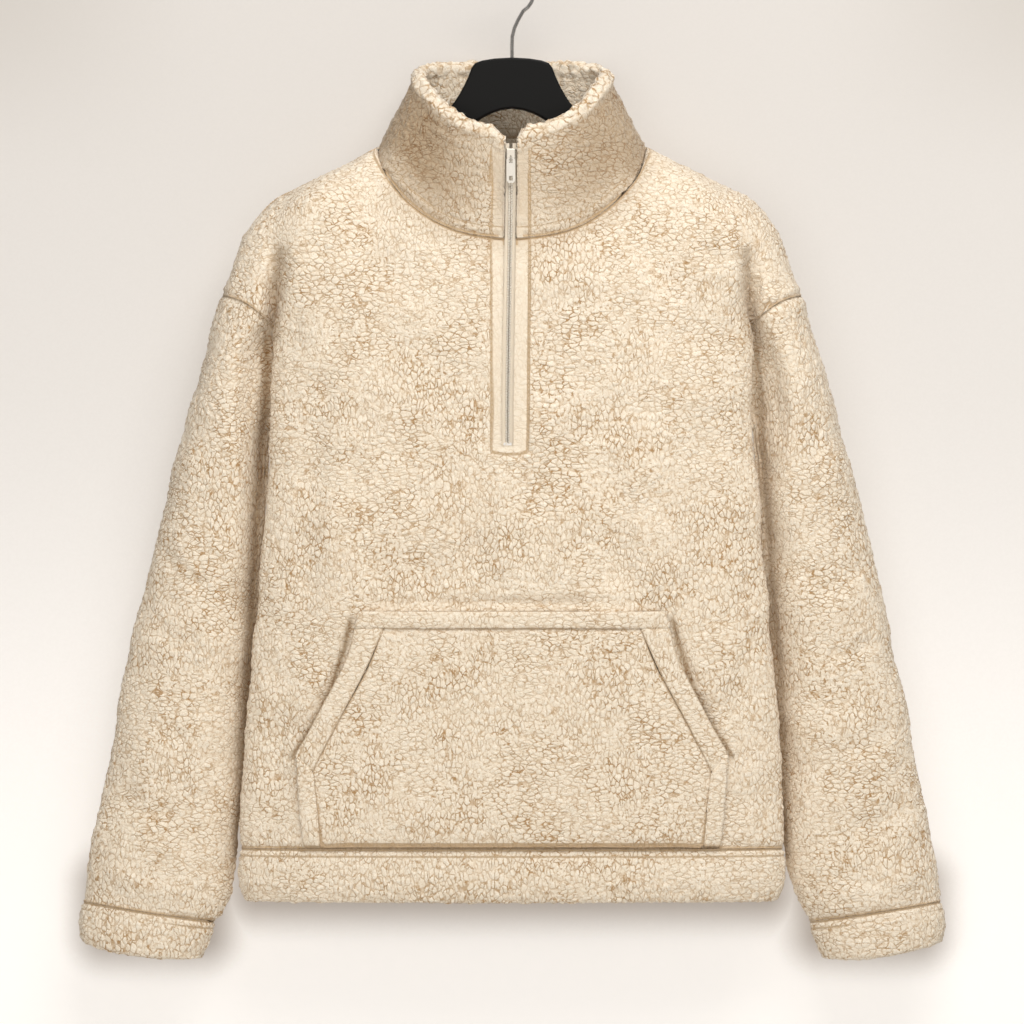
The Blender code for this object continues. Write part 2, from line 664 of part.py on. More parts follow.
def build_wall(piece):
    """Give one sewn panel its thickness, with plain seam faces round its edges."""
    faces = skin.faces[piece]
    used = sorted({n for face in faces for n in face})
    moved = seam_inset(piece, SEAM_GAP)
    outer = [moved.get(n, skin_points[n]) for n in used]
    inner = [place - wall_at(n) * skin_normals[n] for n, place in zip(used, outer)]
    local = {n: k for k, n in enumerate(used)}
    count = len(used)
    all_faces = [tuple(local[n] for n in face) for face in faces]
    all_faces += [tuple(local[n] + count for n in reversed(face)) for face in faces]
    directed = {(a, b) for face in faces for a, b in zip(face, face[1:] + face[:1])}
    for a, b in sorted(directed):
        if (b, a) in directed:
            continue
        low, high = min(a, b), max(a, b)
        all_faces.append((local[low], local[high], local[high] + count))
        all_faces.append((local[low], local[high] + count, local[low] + count))
    return new_part(piece, outer + inner, all_faces, FLEECE)


for piece in ("body_front", "body_back", "sleeve_left", "sleeve_right"):
    build_wall(piece)


def build_band(piece, rings, closed, base_wall, wall, rim_reach):
    """Give a doubled band its thickness: outside rows, a rounded rim, then inside rows."""
    moved = seam_inset(piece, SEAM_GAP)
    profiles = []
    for k in range(len(rings[0])):
        column = [ring[k] for ring in rings]
        outer = [moved.get(column[0], skin_points[column[0]])]
        outer += [skin_points[n].copy() for n in column[1:]]
        normals = [skin_normals[n] for n in column]
        up = outer[-1] - outer[-2]
        out = normals[-1] - up * (normals[-1] @ up) / (up @ up)
        out /= np.linalg.norm(out)
        up /= np.linalg.norm(up)
        middle = outer[-1] - out * wall / 2
        rim = []
        for degrees in (38, 90, 142):
            turn = math.radians(degrees)
            rim.append(middle + out * wall / 2 * math.cos(turn) + up * rim_reach * math.sin(turn))
        inner = [place - normal * wall for place, normal in zip(outer[1:-1], normals[1:-1])]
        inner = [outer[0] - normals[0] * base_wall] + inner + [outer[-1] - out * wall]
        profiles.append(outer + rim + inner[::-1])
    size = len(profiles[0])
    points = [place for profile in profiles for place in profile]
    faces = []
    spans = len(profiles) if closed else len(profiles) - 1
    for k in range(spans):
        m = (k + 1) % len(profiles)
        for n in range(size - 1):
            faces.append((k * size + n, k * size + n + 1, m * size + n + 1, m * size + n))
        low, high = (k, m) if rings[0][k] < rings[0][m] else (m, k)
        faces.append((low * size, high * size, high * size + size - 1))
        faces.append((low * size, high * size + size - 1, low * size + size - 1))
    if not closed:
        faces.append(tuple(range(size)))
        faces.append(tuple(range(len(points) - size, len(points)))[::-1])
    return new_part(piece, points, faces, FLEECE)


build_band("waistband", waistband_rings, True, WALL, DOUBLE_WALL, 6.5)
build_band("cuff_left", cuff_rings[-1], True, WALL, DOUBLE_WALL, 6.0)
build_band("cuff_right", cuff_rings[1], True, WALL, DOUBLE_WALL, 6.0)
build_band("collar", collar_rows, False, WALL + 0.5, COLLAR_WALL, 6.0)


def front_face(x, z):
    """Give a point of the front's outer face and its outward direction."""
    def depth(px, pz):
        half = float(smooth_read(BODY_OUTLINE, pz)) + TUCK_SHARE
        deep = float(smooth_read(BODY_DEPTH, pz, 1))
        rounded = deep * (1 - min(abs(px) / half, 1.0) ** SECTION_POWER) ** (1 / SECTION_POWER)
        return rounded + fold_height(px, pz)
    slope_x = -(depth(x + 1, z) - depth(x - 1, z)) / 2
    slope_z = -(depth(x, z + 1) - depth(x, z - 1)) / 2
    normal = np.array([slope_x, -1.0, slope_z])
    return np.array([x, -depth(x, z), z]), normal / np.linalg.norm(normal)


def build_patch(name, grid, thickness, taper_last=0.0):
    """Lay a grid of front-view places on the front, as a wall of its own."""
    rows = len(grid)
    columns = len(grid[0])
    under = []
    over = []
    for i, line in enumerate(grid):
        for k, (x, z) in enumerate(line):
            place, normal = front_face(x, z)
            edge = i in (0, rows - 1) or k in (0, columns - 1)
            wall = thickness * (0.86 if edge else 1.0)
            if i == rows - 1:
                wall -= taper_last
            under.append(place + normal * LAYER_GAP)
            over.append(place + normal * (LAYER_GAP + wall))
    count = rows * columns
    faces = []
    for i in range(rows - 1):
        for k in range(columns - 1):
            a = i * columns + k
            b = a + 1
            c = b + columns
            d = a + columns
            faces.append((a, b, c, d))
            faces.append((d + count, c + count, b + count, a + count))
    border = [k for k in range(columns)]
    border += [i * columns + columns - 1 for i in range(1, rows)]
    border += [(rows - 1) * columns + k for k in range(columns - 2, -1, -1)]
    border += [i * columns for i in range(rows - 2, 0, -1)]
    for a, b in zip(border, border[1:] + border[:1]):
        faces.append((b, a, a + count, b + count))
    return new_part(name, under + over, faces, FLEECE)


def strip_grid(rows, side, steps, gap):
    """Give a strip's places from its outer edge to its inner edge, down its length."""
    table = np.array(rows, float)
    line = along(table, np.linspace(0, 1, steps + 1))
    grid = []
    for outer_x, outer_z, inner_x, inner_z in line:
        outer = np.array([outer_x, outer_z])
        inner = np.array([inner_x, inner_z])
        inner = inner + (outer - inner) / np.linalg.norm(outer - inner) * gap
        middle = (outer + inner) / 2
        grid.append([(side * p[0], p[1]) for p in (outer, middle, inner)])
    return grid


def build_pocket():
    """Build the kangaroo pocket's centre panel, top hem, openings and side strips."""
    panel = []
    for z in np.concatenate([np.linspace(POCKET_PANEL[0][0], -724, 8), [-745, -768, -791]]):
        half = float(smooth_read(POCKET_PANEL, z))
        panel.append([(half * share, z) for share in np.linspace(-1, 1, 19)])
    build_patch("pocket_panel", panel, POCKET_WALL, 1.5)
    hem = []
    for z in (POCKET_TOP_Z, POCKET_TOP_Z - POCKET_TOP_HEM / 2, POCKET_TOP_Z - POCKET_TOP_HEM):
        half = POCKET_TOP_HALF + (POCKET_TOP_Z - z) * 0.24
        hem.append([(half * share, z) for share in np.linspace(-1, 1, 17)])
    build_patch("pocket_top_hem", hem, POCKET_HEM_WALL)
    for side, name in ((-1, "left"), (1, "right")):
        build_patch("pocket_opening_" + name, strip_grid(POCKET_OPENING, side, 10, 0.5), POCKET_HEM_WALL)
        build_patch("pocket_side_" + name, strip_grid(POCKET_SIDE, side, 5, 0.5), POCKET_HEM_WALL, 1.5)


build_pocket()


def placket_face(z):
    """Give the depth of the cloth's face beside the zip at a height."""
    rows = []
    for grid_row in range(YOKE_ROWS + ARMHOLE_ROWS + 2):
        point = skin_points[front_grids[1][grid_row, 0]]
        rows.append((point[2], point[1]))
    for ids in collar_rows[1:]:
        point = skin_points[ids[-1]]
        rows.append((point[2], point[1]))
    rows.append((-460.0, rows[-1][1]))
    rows = sorted(rows)
    return float(np.interp(z, [row[0] for row in rows], [row[1] for row in rows]))


def loft_down(name, heights, profile_at, colour, roughness, metallic=0.0):
    """Loft a closed profile down a line of heights."""
    points = []
    for z in heights:
        points += profile_at(z)
    size = len(points) // len(heights)
    faces = []
    for n in range(len(heights) - 1):
        for k in range(size):
            m = (k + 1) % size
            faces.append((n * size + k, n * size + m, (n + 1) * size + m, (n + 1) * size + k))
    faces.append(tuple(range(size)))
    faces.append(tuple(range(len(points) - size, len(points)))[::-1])
    return new_part(name, points, faces, colour, roughness, metallic)


def panel_low_face(z):
    """Give the depth of the front's face at the centre, below the slit too."""
    if z > SLIT_END_Z:
        return placket_face(z)
    return float(front_face(0.0, z)[0][1])


def build_zip():
    """Build the zip's tapes and closed chain behind and inside the slit."""
    neck_z = FRONT_NECK[0][1]
    tape_heights = [ZIP_TOP_Z, SLIDER_TOP_Z, SLIDER_END_Z, -198, -220, neck_z - 0.9, neck_z - 1.4]
    tape_heights += list(np.linspace(neck_z - 25, ZIP_END_Z, 9))
    for side, name in ((-1, "left"), (1, "right")):
        def tape_profile(z, side=side):
            face = panel_low_face(z)
            inner = CHAIN_HALF + 0.3
            outer = SLIT_HALF - 0.3 if z > neck_z - 1.2 else TAPE_HALF
            shift = slit_shift(z)
            front = face + TAPE_FRONT
            back = front + TAPE_THICK
            return [(shift + side * inner, front, z), (shift + side * outer, front, z),
                    (shift + side * outer, back, z), (shift + side * inner, back, z)]
        loft_down("zip_tape_" + name, tape_heights, tape_profile, (0.80, 0.72, 0.60), 0.8)

    def chain_profile(z):
        face = panel_low_face(z)
        shift = slit_shift(z)
        front = face + CHAIN_FRONT
        back = face + CHAIN_BACK
        soft = 0.9
        return [(shift - CHAIN_HALF, front + soft, z), (shift - CHAIN_HALF + soft, front, z),
                (shift + CHAIN_HALF - soft, front, z), (shift + CHAIN_HALF, front + soft, z),
                (shift + CHAIN_HALF, back, z), (shift - CHAIN_HALF, back, z)]
    chain_heights = list(np.linspace(-169.6, neck_z, 6)) + list(np.linspace(neck_z - 21, -428.5, 9))
    loft_down("zip_chain", chain_heights, chain_profile, (0.86, 0.79, 0.66), 0.5)


build_zip()


def boxed(name, x, y, z, collection):
    """Add a box between two limits on each axis, in millimetres."""
    bpy.ops.mesh.primitive_cube_add(size=1.0)
    box = bpy.context.object
    box.name = name
    for old_collection in list(box.users_collection):
        old_collection.objects.unlink(box)
    collection.objects.link(box)
    for vertex in box.data.vertices:
        vertex.co.x = (x[0] if vertex.co.x < 0 else x[1]) * MM
        vertex.co.y = (y[0] if vertex.co.y < 0 else y[1]) * MM
        vertex.co.z = (z[0] if vertex.co.z < 0 else z[1]) * MM
    return box


def cut(part, cutter):
    """Cut one object out of another."""
    cutter.hide_render = True
    cutter.display_type = "WIRE"
    modifier = part.modifiers.new(cutter.name, "BOOLEAN")
    modifier.operation = "DIFFERENCE"
    modifier.object = cutter


def wire(name, points, radius, colour, roughness, metallic):
    """Make a round wire through points in millimetres."""
    curve = bpy.data.curves.new(name, "CURVE")
    curve.dimensions = "3D"
    curve.bevel_depth = radius * MM
    curve.bevel_resolution = 2
    curve.use_fill_caps = True
    spline = curve.splines.new("POLY")
    spline.points.add(len(points) - 1)
    for place, point in zip(points, spline.points):
        point.co = (place[0] * MM, place[1] * MM, place[2] * MM, 1.0)
    curve.materials.append(make_material(name, colour, roughness, metallic))
    part = bpy.data.objects.new(name, curve)
    parts.objects.link(part)
    return part


def build_slider():
    """Build the slider with its bail, and the pull tab hung in the bail."""
    face = placket_face(PIVOT_Z)
    shift = slit_shift(PIVOT_Z)
    pivot_y = face - PIVOT_OUT
    plate_front = face + SLIDER_FRONT
    body = boxed("zip_slider", (shift - SLIDER_HALF, shift + SLIDER_HALF),
                 (plate_front, face + SLIDER_BACK), (SLIDER_END_Z, SLIDER_TOP_Z), parts)
    body.data.materials.append(make_material("zip_slider", (0.78, 0.74, 0.68), 0.3, 0.9))
    bevel = body.modifiers.new("soft_edges", "BEVEL")
    bevel.width = 0.6 * MM
    bevel.segments = 2
    bevel.limit_method = "ANGLE"
    chain_room = CHAIN_HALF + 0.3
    channel_y = (face + CHAIN_FRONT - 0.3, face + TAPE_FRONT + TAPE_THICK + 0.3)
    cut(body, boxed("chain_channel", (shift - chain_room, shift + chain_room), channel_y,
                    (SLIDER_END_Z - 2, -169.2), cutters))
    for side in (-1, 1):
        near, far = sorted((shift + side * 1.1, shift + side * (chain_room + 0.02)))
        cut(body, boxed("branch_channel", (near, far), channel_y, (-169.4, SLIDER_TOP_Z + 2), cutters))
        near, far = sorted((shift + side * (chain_room - 0.1), shift + side * (SLIDER_HALF + 2)))
        slot_y = (face + TAPE_FRONT - 0.6, face + TAPE_FRONT + TAPE_THICK + 0.5)
        cut(body, boxed("tape_slot", (near, far), slot_y, (SLIDER_END_Z - 2, SLIDER_TOP_Z + 2), cutters))

    reach = 2.4
    bail = [(shift, plate_front + 0.35, PIVOT_Z - reach)]
    for degrees in range(-90, 91, 20):
        turn = math.radians(degrees)
        bail.append((shift, pivot_y - reach * math.cos(turn), PIVOT_Z + reach * math.sin(turn)))
    bail.append((shift, plate_front + 0.35, PIVOT_Z + reach))
    bail_curve = wire("zip_bail", bail, 0.6, (0.78, 0.74, 0.68), 0.3, 0.9)
    bpy.context.view_layer.update()
    ready = bpy.context.evaluated_depsgraph_get()
    shaped = bpy.data.meshes.new_from_object(bail_curve.evaluated_get(ready))
    bpy.data.objects.remove(bail_curve, do_unlink=True)
    work = bmesh.new()
    work.from_mesh(shaped)
    bmesh.ops.remove_doubles(work, verts=work.verts, dist=1e-6)
    bmesh.ops.recalc_face_normals(work, faces=work.faces)
    work.to_mesh(shaped)
    work.free()
    bail_part = bpy.data.objects.new("zip_bail", shaped)
    cutters.objects.link(bail_part)
    bail_part.hide_render = True
    bail_part.display_type = "WIRE"
    join = body.modifiers.new("bail", "BOOLEAN")
    join.operation = "UNION"
    join.object = bail_part

    tab = tab_outline(shift, pivot_y)
    return body, tab


def tab_outline(shift, pivot_y):
    """Make the flat pull tab with its eye and its lower hole, its origin on the pivot."""
    tab = boxed("zip_pull_tab", (-TAB_HALF, TAB_HALF), (-TAB_THICK / 2, TAB_THICK / 2),
                (TAB_END_Z - PIVOT_Z, 0.6), parts)
    tab.location = (shift * MM, pivot_y * MM, PIVOT_Z * MM)
    tab.data.materials.append(make_material("zip_pull_tab", (0.90, 0.88, 0.83), 0.35))
    work = bmesh.new()
    work.from_mesh(tab.data)
    upright = [edge for edge in work.edges if abs(edge.verts[0].co.y - edge.verts[1].co.y) > 0.0005]
    bmesh.ops.bevel(work, geom=upright, offset=1.3 * MM, segments=3, affect="EDGES")
    work.to_mesh(tab.data)
    work.free()
    holes = [("tab_eye", (-1.7, 1.7), (-3.9, -0.65)),
             ("tab_hole", (-1.6, 1.6), (TAB_END_Z - PIVOT_Z + 2.2, TAB_END_Z - PIVOT_Z + 6.2))]
    for name, across, up in holes:
        hole = boxed(name, across, (-3, 3), up, cutters)
        hole.location = tab.location
        cut(tab, hole)
    return tab


build_slider()


def build_hanger():
    """Build the hanger's flat body and its wire hook."""
    arm_x = np.linspace(135, HANGER_REACH - 6, 6)
    arm = [(x, float(smooth_read(SHOULDER, x)) - HANGER_DROP) for x in arm_x]
    top = HANGER_TOP + arm
    tip_x, tip_z = arm[-1]
    low_tip = HANGER_LOWER[-1]
    tip = [(HANGER_REACH, tip_z - 4.5), (HANGER_REACH + 2.0, tip_z - 10),
           (HANGER_REACH + 1.5, low_tip[1] + 3)]
    half = top + tip + HANGER_LOWER[::-1]
    ring = half[:-1] + [(-x, z) for x, z in half[::-1][:-1]]
    ring = [point for n, point in enumerate(ring) if n == 0 or point != ring[n - 1]]
    ring = ring[:-1] if ring[0] == ring[-1] else ring
    curve = bpy.data.curves.new("hanger_body", "CURVE")
    curve.dimensions = "2D"
    curve.fill_mode = "BOTH"
    curve.extrude = (HANGER_THICK / 2 - 1.6) * MM
    curve.bevel_depth = 1.6 * MM
    curve.bevel_resolution = 1
    curve.offset = -1.6 * MM
    spline = curve.splines.new("POLY")
    spline.points.add(len(ring) - 1)
    spline.use_cyclic_u = True
    for place, point in zip(ring, spline.points):
        point.co = (place[0] * MM, place[1] * MM, 0.0, 1.0)
    flat = bpy.data.objects.new("hanger_outline", curve)
    parts.objects.link(flat)
    flat.rotation_euler = (math.pi / 2, 0.0, 0.0)
    bpy.context.view_layer.update()
    mesh = bpy.data.meshes.new_from_object(flat.evaluated_get(bpy.context.evaluated_depsgraph_get()))
    place = flat.matrix_world.copy()
    bpy.data.objects.remove(flat, do_unlink=True)
    mesh.materials.clear()
    mesh.materials.append(make_material("hanger_body", (0.012, 0.012, 0.013), 0.45))
    body = bpy.data.objects.new("hanger_body", mesh)
    parts.objects.link(body)
    body.matrix_world = place
    work = bmesh.new()
    work.from_mesh(mesh)
    bmesh.ops.remove_doubles(work, verts=work.verts, dist=1e-6)
    bmesh.ops.recalc_face_normals(work, faces=work.faces)
    work.to_mesh(mesh)
    work.free()

    bpy.ops.mesh.primitive_cylinder_add(vertices=20, radius=(WIRE_RADIUS + 0.3) * MM, depth=30 * MM,
                                        location=(0.0, 0.0, -75 * MM))
    socket = bpy.context.object
    socket.name = "hook_socket"
    for old_collection in list(socket.users_collection):
        old_collection.objects.unlink(socket)
    cutters.objects.link(socket)
    cut(body, socket)

    centre = np.array([0.0, WIRE_RADIUS - HOOK_RADIUS])
    path = [(0.0, 0.0, -89.5), (0.0, 0.0, -80), (0.0, 0.0, -66), (0.3, 0.0, -58), (2.2, 0.0, -50.5),
            (5.6, 0.0, -43), (10.2, 0.0, -35)]
    for degrees in range(-42, 196, 14):
        turn = math.radians(degrees)
        path.append((centre[0] + HOOK_RADIUS * math.cos(turn), 0.0,
                     centre[1] + HOOK_RADIUS * math.sin(turn)))
    wire("hanger_hook", path, WIRE_RADIUS, (0.62, 0.62, 0.62), 0.25, 1.0)


build_hanger()
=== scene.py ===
# Half-zip sherpa pullover on a black hanger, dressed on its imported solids.
# Metres. The front faces -Y, and +X is to the right of someone who faces the front.
import math

import bmesh
import bpy
import numpy as np
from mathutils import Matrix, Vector
from mathutils.bvhtree import BVHTree
from mathutils.kdtree import KDTree


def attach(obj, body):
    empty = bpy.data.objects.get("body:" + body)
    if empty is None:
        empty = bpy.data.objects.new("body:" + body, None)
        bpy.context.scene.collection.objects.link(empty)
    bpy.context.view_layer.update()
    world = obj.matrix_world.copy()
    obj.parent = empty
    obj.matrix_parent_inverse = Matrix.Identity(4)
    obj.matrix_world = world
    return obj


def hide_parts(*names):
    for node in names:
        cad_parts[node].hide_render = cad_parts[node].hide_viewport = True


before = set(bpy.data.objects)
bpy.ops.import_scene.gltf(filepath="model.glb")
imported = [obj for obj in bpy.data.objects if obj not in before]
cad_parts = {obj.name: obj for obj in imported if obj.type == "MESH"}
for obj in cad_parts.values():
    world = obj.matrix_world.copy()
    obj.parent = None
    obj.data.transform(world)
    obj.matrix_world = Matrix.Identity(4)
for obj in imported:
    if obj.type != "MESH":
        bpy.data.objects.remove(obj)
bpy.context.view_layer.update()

scene = bpy.context.scene
mm = 0.001
print("frame loaded:", len(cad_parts), "nodes")

fleece = {
    "longestEdge": 3.1 * mm,   # outer faces are cut until no edge is longer
    "tuft": 8.0 * mm,          # width of the tufts that the mesh itself carries
    "height": 1.2 * mm,        # from crevice to crest
    "bend": 11.0 * mm,         # how far the tufts wander
    "seed": 3.0,
    "sink": 1.2 * mm,          # how far stitching pulls the cloth in
    "seamRoll": 1.4 * mm,      # how far an edge turns in at its seam
    "seamReach": 6.0 * mm,
    "drape": 3.4 * mm,         # soft uneven swells between the creases, trough to crest
    "bandDrape": 0.25,         # the share of drape on bands and patches
    "patchSpread": 1.1 * mm,   # the pocket's pieces meet their neighbours
    "patchRoll": 0.1,          # the share of seamRoll on them
    "patchShorn": 0.15,        # their pile is a little lower than the panel's
    "seamPress": 0.85,         # how hard a seam presses the pile
    "creaseShare": 1.6,        # creases are this much deeper than their table says
    "placketDrop": 1.4 * mm,   # the low pile beside the zip lies deeper
}
fleeceLook = {
    "curl": 4.7 * mm,          # the small curls, in colour and bump
    "curlShape": (1.2, 0.70),  # scale across and along a curl, so 1.2 is slim and 0.7 long
    "rimCurl": 8.5 * mm,       # the large ones on the collar's rim
    "flow": 7.0 * mm,          # spacing of the winding lines that run between the curls
    # crest: painted highlight on the tops of the curls; crevice: painted shade between them
    "crestHighlight": (0.98, 0.895, 0.765),
    "body": (0.84, 0.715, 0.555),
    "creviceShade": (0.42, 0.245, 0.10),
    "paintedShade": (0.36, 0.275, 0.18),  # painted shade: the colour that shaded pile is darkened towards
    "worn": (0.80, 0.69, 0.54),   # the low pile beside the zip
    "sewn": (0.50, 0.35, 0.20),   # pile pressed down by stitching
    "roughness": 0.95,
    "relief": 0.9 * mm,
    "sheen": 0.3,
}
camera = {"distance": 6.0, "across": 0.9216, "plane": -0.055, "height": -0.490}


def addNode(tree, kind, sockets=None, **settings):
    node = tree.nodes.new(kind)
    for name, value in settings.items():
        setattr(node, name, value)
    for name, value in (sockets or {}).items():
        if isinstance(value, bpy.types.NodeSocket):
            tree.links.new(value, node.inputs[name])
        else:
            node.inputs[name].default_value = value
    return node


def maths(tree, operation, first, second=0.5, third=0.5):
    return addNode(tree, "ShaderNodeMath", {0: first, 1: second, 2: third}, operation=operation).outputs[0]


def vectorMaths(tree, operation, first, second=None, scale=None):
    node = addNode(tree, "ShaderNodeVectorMath", {0: first}, operation=operation)
    if second is not None:
        if isinstance(second, bpy.types.NodeSocket):
            tree.links.new(second, node.inputs[1])
        else:
            node.inputs[1].default_value = second
    if scale is not None:
        if isinstance(scale, bpy.types.NodeSocket):
            tree.links.new(scale, node.inputs["Scale"])
        else:
            node.inputs["Scale"].default_value = scale
    return node.outputs["Vector"]


def easedRange(tree, value, low, high, start=0.0, end=1.0):
    limits = {"Value": value, "From Min": low, "From Max": high, "To Min": start, "To Max": end}
    node = addNode(tree, "ShaderNodeMapRange", limits, interpolation_type="SMOOTHSTEP")
    return node.outputs["Result"]


def mixColour(tree, share, first, second):
    node = addNode(tree, "ShaderNodeMix", {"Factor": share}, data_type="RGBA")
    for name, value in (("A", first), ("B", second)):
        socket = [s for s in node.inputs if s.name == name and s.type == "RGBA"][0]
        if isinstance(value, bpy.types.NodeSocket):
            tree.links.new(value, socket)
        else:
            socket.default_value = (*value, 1.0)
    return [s for s in node.outputs if s.type == "RGBA"][0]


def newMaterial(name, roughness, metallic=0.0):
    material = bpy.data.materials.new(name)
    material.use_nodes = True
    tree = material.node_tree
    shader = tree.nodes["Principled BSDF"]
    shader.inputs["Roughness"].default_value = roughness
    shader.inputs["Metallic"].default_value = metallic
    return material, tree, shader


def curlCells(tree, place, size, bendSize, bend, seed):
    # bent cells: 0 in the crevices, rising towards the middle of each curl
    noise = addNode(tree, "ShaderNodeTexNoise",
                    {"Vector": place, "W": seed, "Scale": 1.0 / bendSize, "Detail": 3.2, "Roughness": 0.66},
                    noise_dimensions="4D")
    offset = vectorMaths(tree, "SUBTRACT", noise.outputs["Color"], (0.5, 0.5, 0.5))
    moved = vectorMaths(tree, "ADD", place, vectorMaths(tree, "SCALE", offset, scale=bend))
    return addNode(tree, "ShaderNodeTexVoronoi", {"Vector": moved, "Scale": 1.0 / size},
                   feature="DISTANCE_TO_EDGE").outputs["Distance"]


def patches(tree, place, size, low, high, seed):
    noise = addNode(tree, "ShaderNodeTexNoise",
                    {"Vector": place, "W": seed, "Scale": 1.0 / size, "Detail": 1.5}, noise_dimensions="4D")
    return easedRange(tree, noise.outputs["Fac"], low, high)


def faded(tree, value, share):
    # value where share is 1, and 1 where share is 0
    return maths(tree, "SUBTRACT", 1.0, maths(tree, "MULTIPLY", maths(tree, "SUBTRACT", 1.0, value), share))


def between(tree, share, first, second):
    return maths(tree, "ADD", maths(tree, "MULTIPLY", maths(tree, "SUBTRACT", 1.0, share), first),
                 maths(tree, "MULTIPLY", share, second))


def fleeceMaterial():
    material, tree, shader = newMaterial("sherpaPile", fleeceLook["roughness"])
    rest = addNode(tree, "ShaderNodeAttribute", attribute_name="restPlace").outputs["Vector"]
    press, shorn, plush, pile, paintedShade = [
        addNode(tree, "ShaderNodeAttribute", attribute_name=name).outputs["Fac"]
        for name in ("press", "shorn", "plush", "pile", "paintedShade")]
    curl = fleeceLook["curl"]
    # the pile lies upright in some patches and level in others
    slim, long = fleeceLook["curlShape"]
    tall = vectorMaths(tree, "MULTIPLY", rest, (slim, slim, long))
    wide = vectorMaths(tree, "MULTIPLY", rest, (long, slim, slim))
    upright = curlCells(tree, tall, curl, 12 * mm, 9 * mm, 0.0)
    level = curlCells(tree, wide, curl, 12 * mm, 9 * mm, 2.0)
    small = between(tree, patches(tree, rest, 60 * mm, 0.43, 0.57, 17.0), upright, level)
    large = curlCells(tree, rest, fleeceLook["rimCurl"], 18 * mm, 14 * mm, 7.0)
    cells = between(tree, plush, small, large)
    flow = addNode(tree, "ShaderNodeTexNoise", {"Vector": rest, "W": 31.0, "Scale": 1.0 / fleeceLook["flow"],
                                                "Detail": 1.2, "Distortion": 0.9}, noise_dimensions="4D")
    winding = maths(tree, "ABSOLUTE", maths(tree, "SUBTRACT", flow.outputs["Fac"], 0.5))
    fine = easedRange(tree, curlCells(tree, rest, curl * 0.55, 6 * mm, 5 * mm, 4.0), 0.0, 0.2)
    gaps = patches(tree, rest, 6 * mm, 0.32, 0.58, 9.0)
    drift = patches(tree, rest, 45 * mm, 0.35, 0.65, 21.0)
    full = maths(tree, "SUBTRACT", 1.0, maths(tree, "MULTIPLY", shorn, 0.55))
    share = maths(tree, "MULTIPLY", maths(tree, "MULTIPLY", easedRange(tree, gaps, 0.0, 1.0, 0.5, 1.0),
                                          easedRange(tree, drift, 0.0, 1.0, 0.7, 1.0)), full)
    crevices = faded(tree, easedRange(tree, cells, 0.0, 0.17), maths(tree, "MULTIPLY", share, 0.95))
    depth = maths(tree, "MULTIPLY", crevices, faded(tree, fine, maths(tree, "MULTIPLY", full, 0.30)))
    lines = easedRange(tree, winding, 0.002, 0.026)
    depth = maths(tree, "MULTIPLY", depth, faded(tree, lines, maths(tree, "MULTIPLY", full, 0.3)))
    wisp = addNode(tree, "ShaderNodeTexNoise", {"Vector": rest, "Scale": 650.0, "Detail": 2.0}).outputs["Fac"]
    depth = maths(tree, "ADD", depth, maths(tree, "MULTIPLY", maths(tree, "SUBTRACT", wisp, 0.5), 0.3))
    # painted shade darkens the crevices and winding lines between the curls, and a painted highlight lightens
    # their crests
    low = mixColour(tree, easedRange(tree, depth, 0.0, 0.7), fleeceLook["creviceShade"], fleeceLook["body"])
    high = mixColour(tree, easedRange(tree, depth, 0.5, 1.05), low, fleeceLook["crestHighlight"])
    valley = mixColour(tree, easedRange(tree, pile, 0.05, 0.5, 0.35, 0.0), high, fleeceLook["body"])
    worn = mixColour(tree, maths(tree, "MULTIPLY", shorn, 0.4), valley, fleeceLook["worn"])
    # painted shade: the pile's colour is multiplied towards a dark brown where the attribute asks for shade,
    # and worn carries this painted shade from here on
    shaded = addNode(tree, "ShaderNodeMix", {"Factor": paintedShade}, data_type="RGBA", blend_type="MULTIPLY")
    paintedShadeSockets = [socket for socket in shaded.inputs if socket.type == "RGBA"]
    tree.links.new(worn, paintedShadeSockets[0])
    paintedShadeSockets[1].default_value = (*fleeceLook["paintedShade"], 1.0)
    worn = [socket for socket in shaded.outputs if socket.type == "RGBA"][0]
    sewn = mixColour(tree, easedRange(tree, press, 0.42, 0.85, 0.0, 0.85), worn, fleeceLook["sewn"])
    tree.links.new(sewn, shader.inputs["Base Color"])
    dome = maths(tree, "MULTIPLY", easedRange(tree, cells, 0.0, 0.45), maths(tree, "MULTIPLY", full, 0.4))
    relief = maths(tree, "ADD", maths(tree, "MULTIPLY", depth, 0.5), dome)
    bump = addNode(tree, "ShaderNodeBump",
                   {"Strength": 0.9, "Distance": fleeceLook["relief"], "Height": relief})
    tree.links.new(bump.outputs["Normal"], shader.inputs["Normal"])
    shader.inputs["Sheen Weight"].default_value = fleeceLook["sheen"]
    shader.inputs["Sheen Roughness"].default_value = 0.6
    shader.inputs["Sheen Tint"].default_value = (1.0, 0.95, 0.88, 1.0)
    shader.inputs["Specular IOR Level"].default_value = 0.12
    return material


def backingMaterial():
    # the brushed back of the fleece, which shows only inside
    material, tree, shader = newMaterial("fleeceBacking", 0.95)
    place = addNode(tree, "ShaderNodeTexCoord").outputs["Object"]
    rows = addNode(tree, "ShaderNodeTexWave",
                   {"Vector": place, "Scale": 260.0, "Distortion": 1.5, "Detail": 1.0}, bands_direction="X")
    loops = addNode(tree, "ShaderNodeTexNoise", {"Vector": place, "Scale": 700.0, "Detail": 2.0})
    mixed = maths(tree, "ADD", maths(tree, "MULTIPLY", rows.outputs["Fac"], 0.5),
                  maths(tree, "MULTIPLY", loops.outputs["Fac"], 0.5))
    colour = mixColour(tree, mixed, (0.55, 0.42, 0.28), (0.74, 0.60, 0.43))
    tree.links.new(colour, shader.inputs["Base Color"])
    bump = addNode(tree, "ShaderNodeBump", {"Strength": 0.4, "Distance": 0.4 * mm, "Height": mixed})
    tree.links.new(bump.outputs["Normal"], shader.inputs["Normal"])
    shader.inputs["Specular IOR Level"].default_value = 0.15
    return material


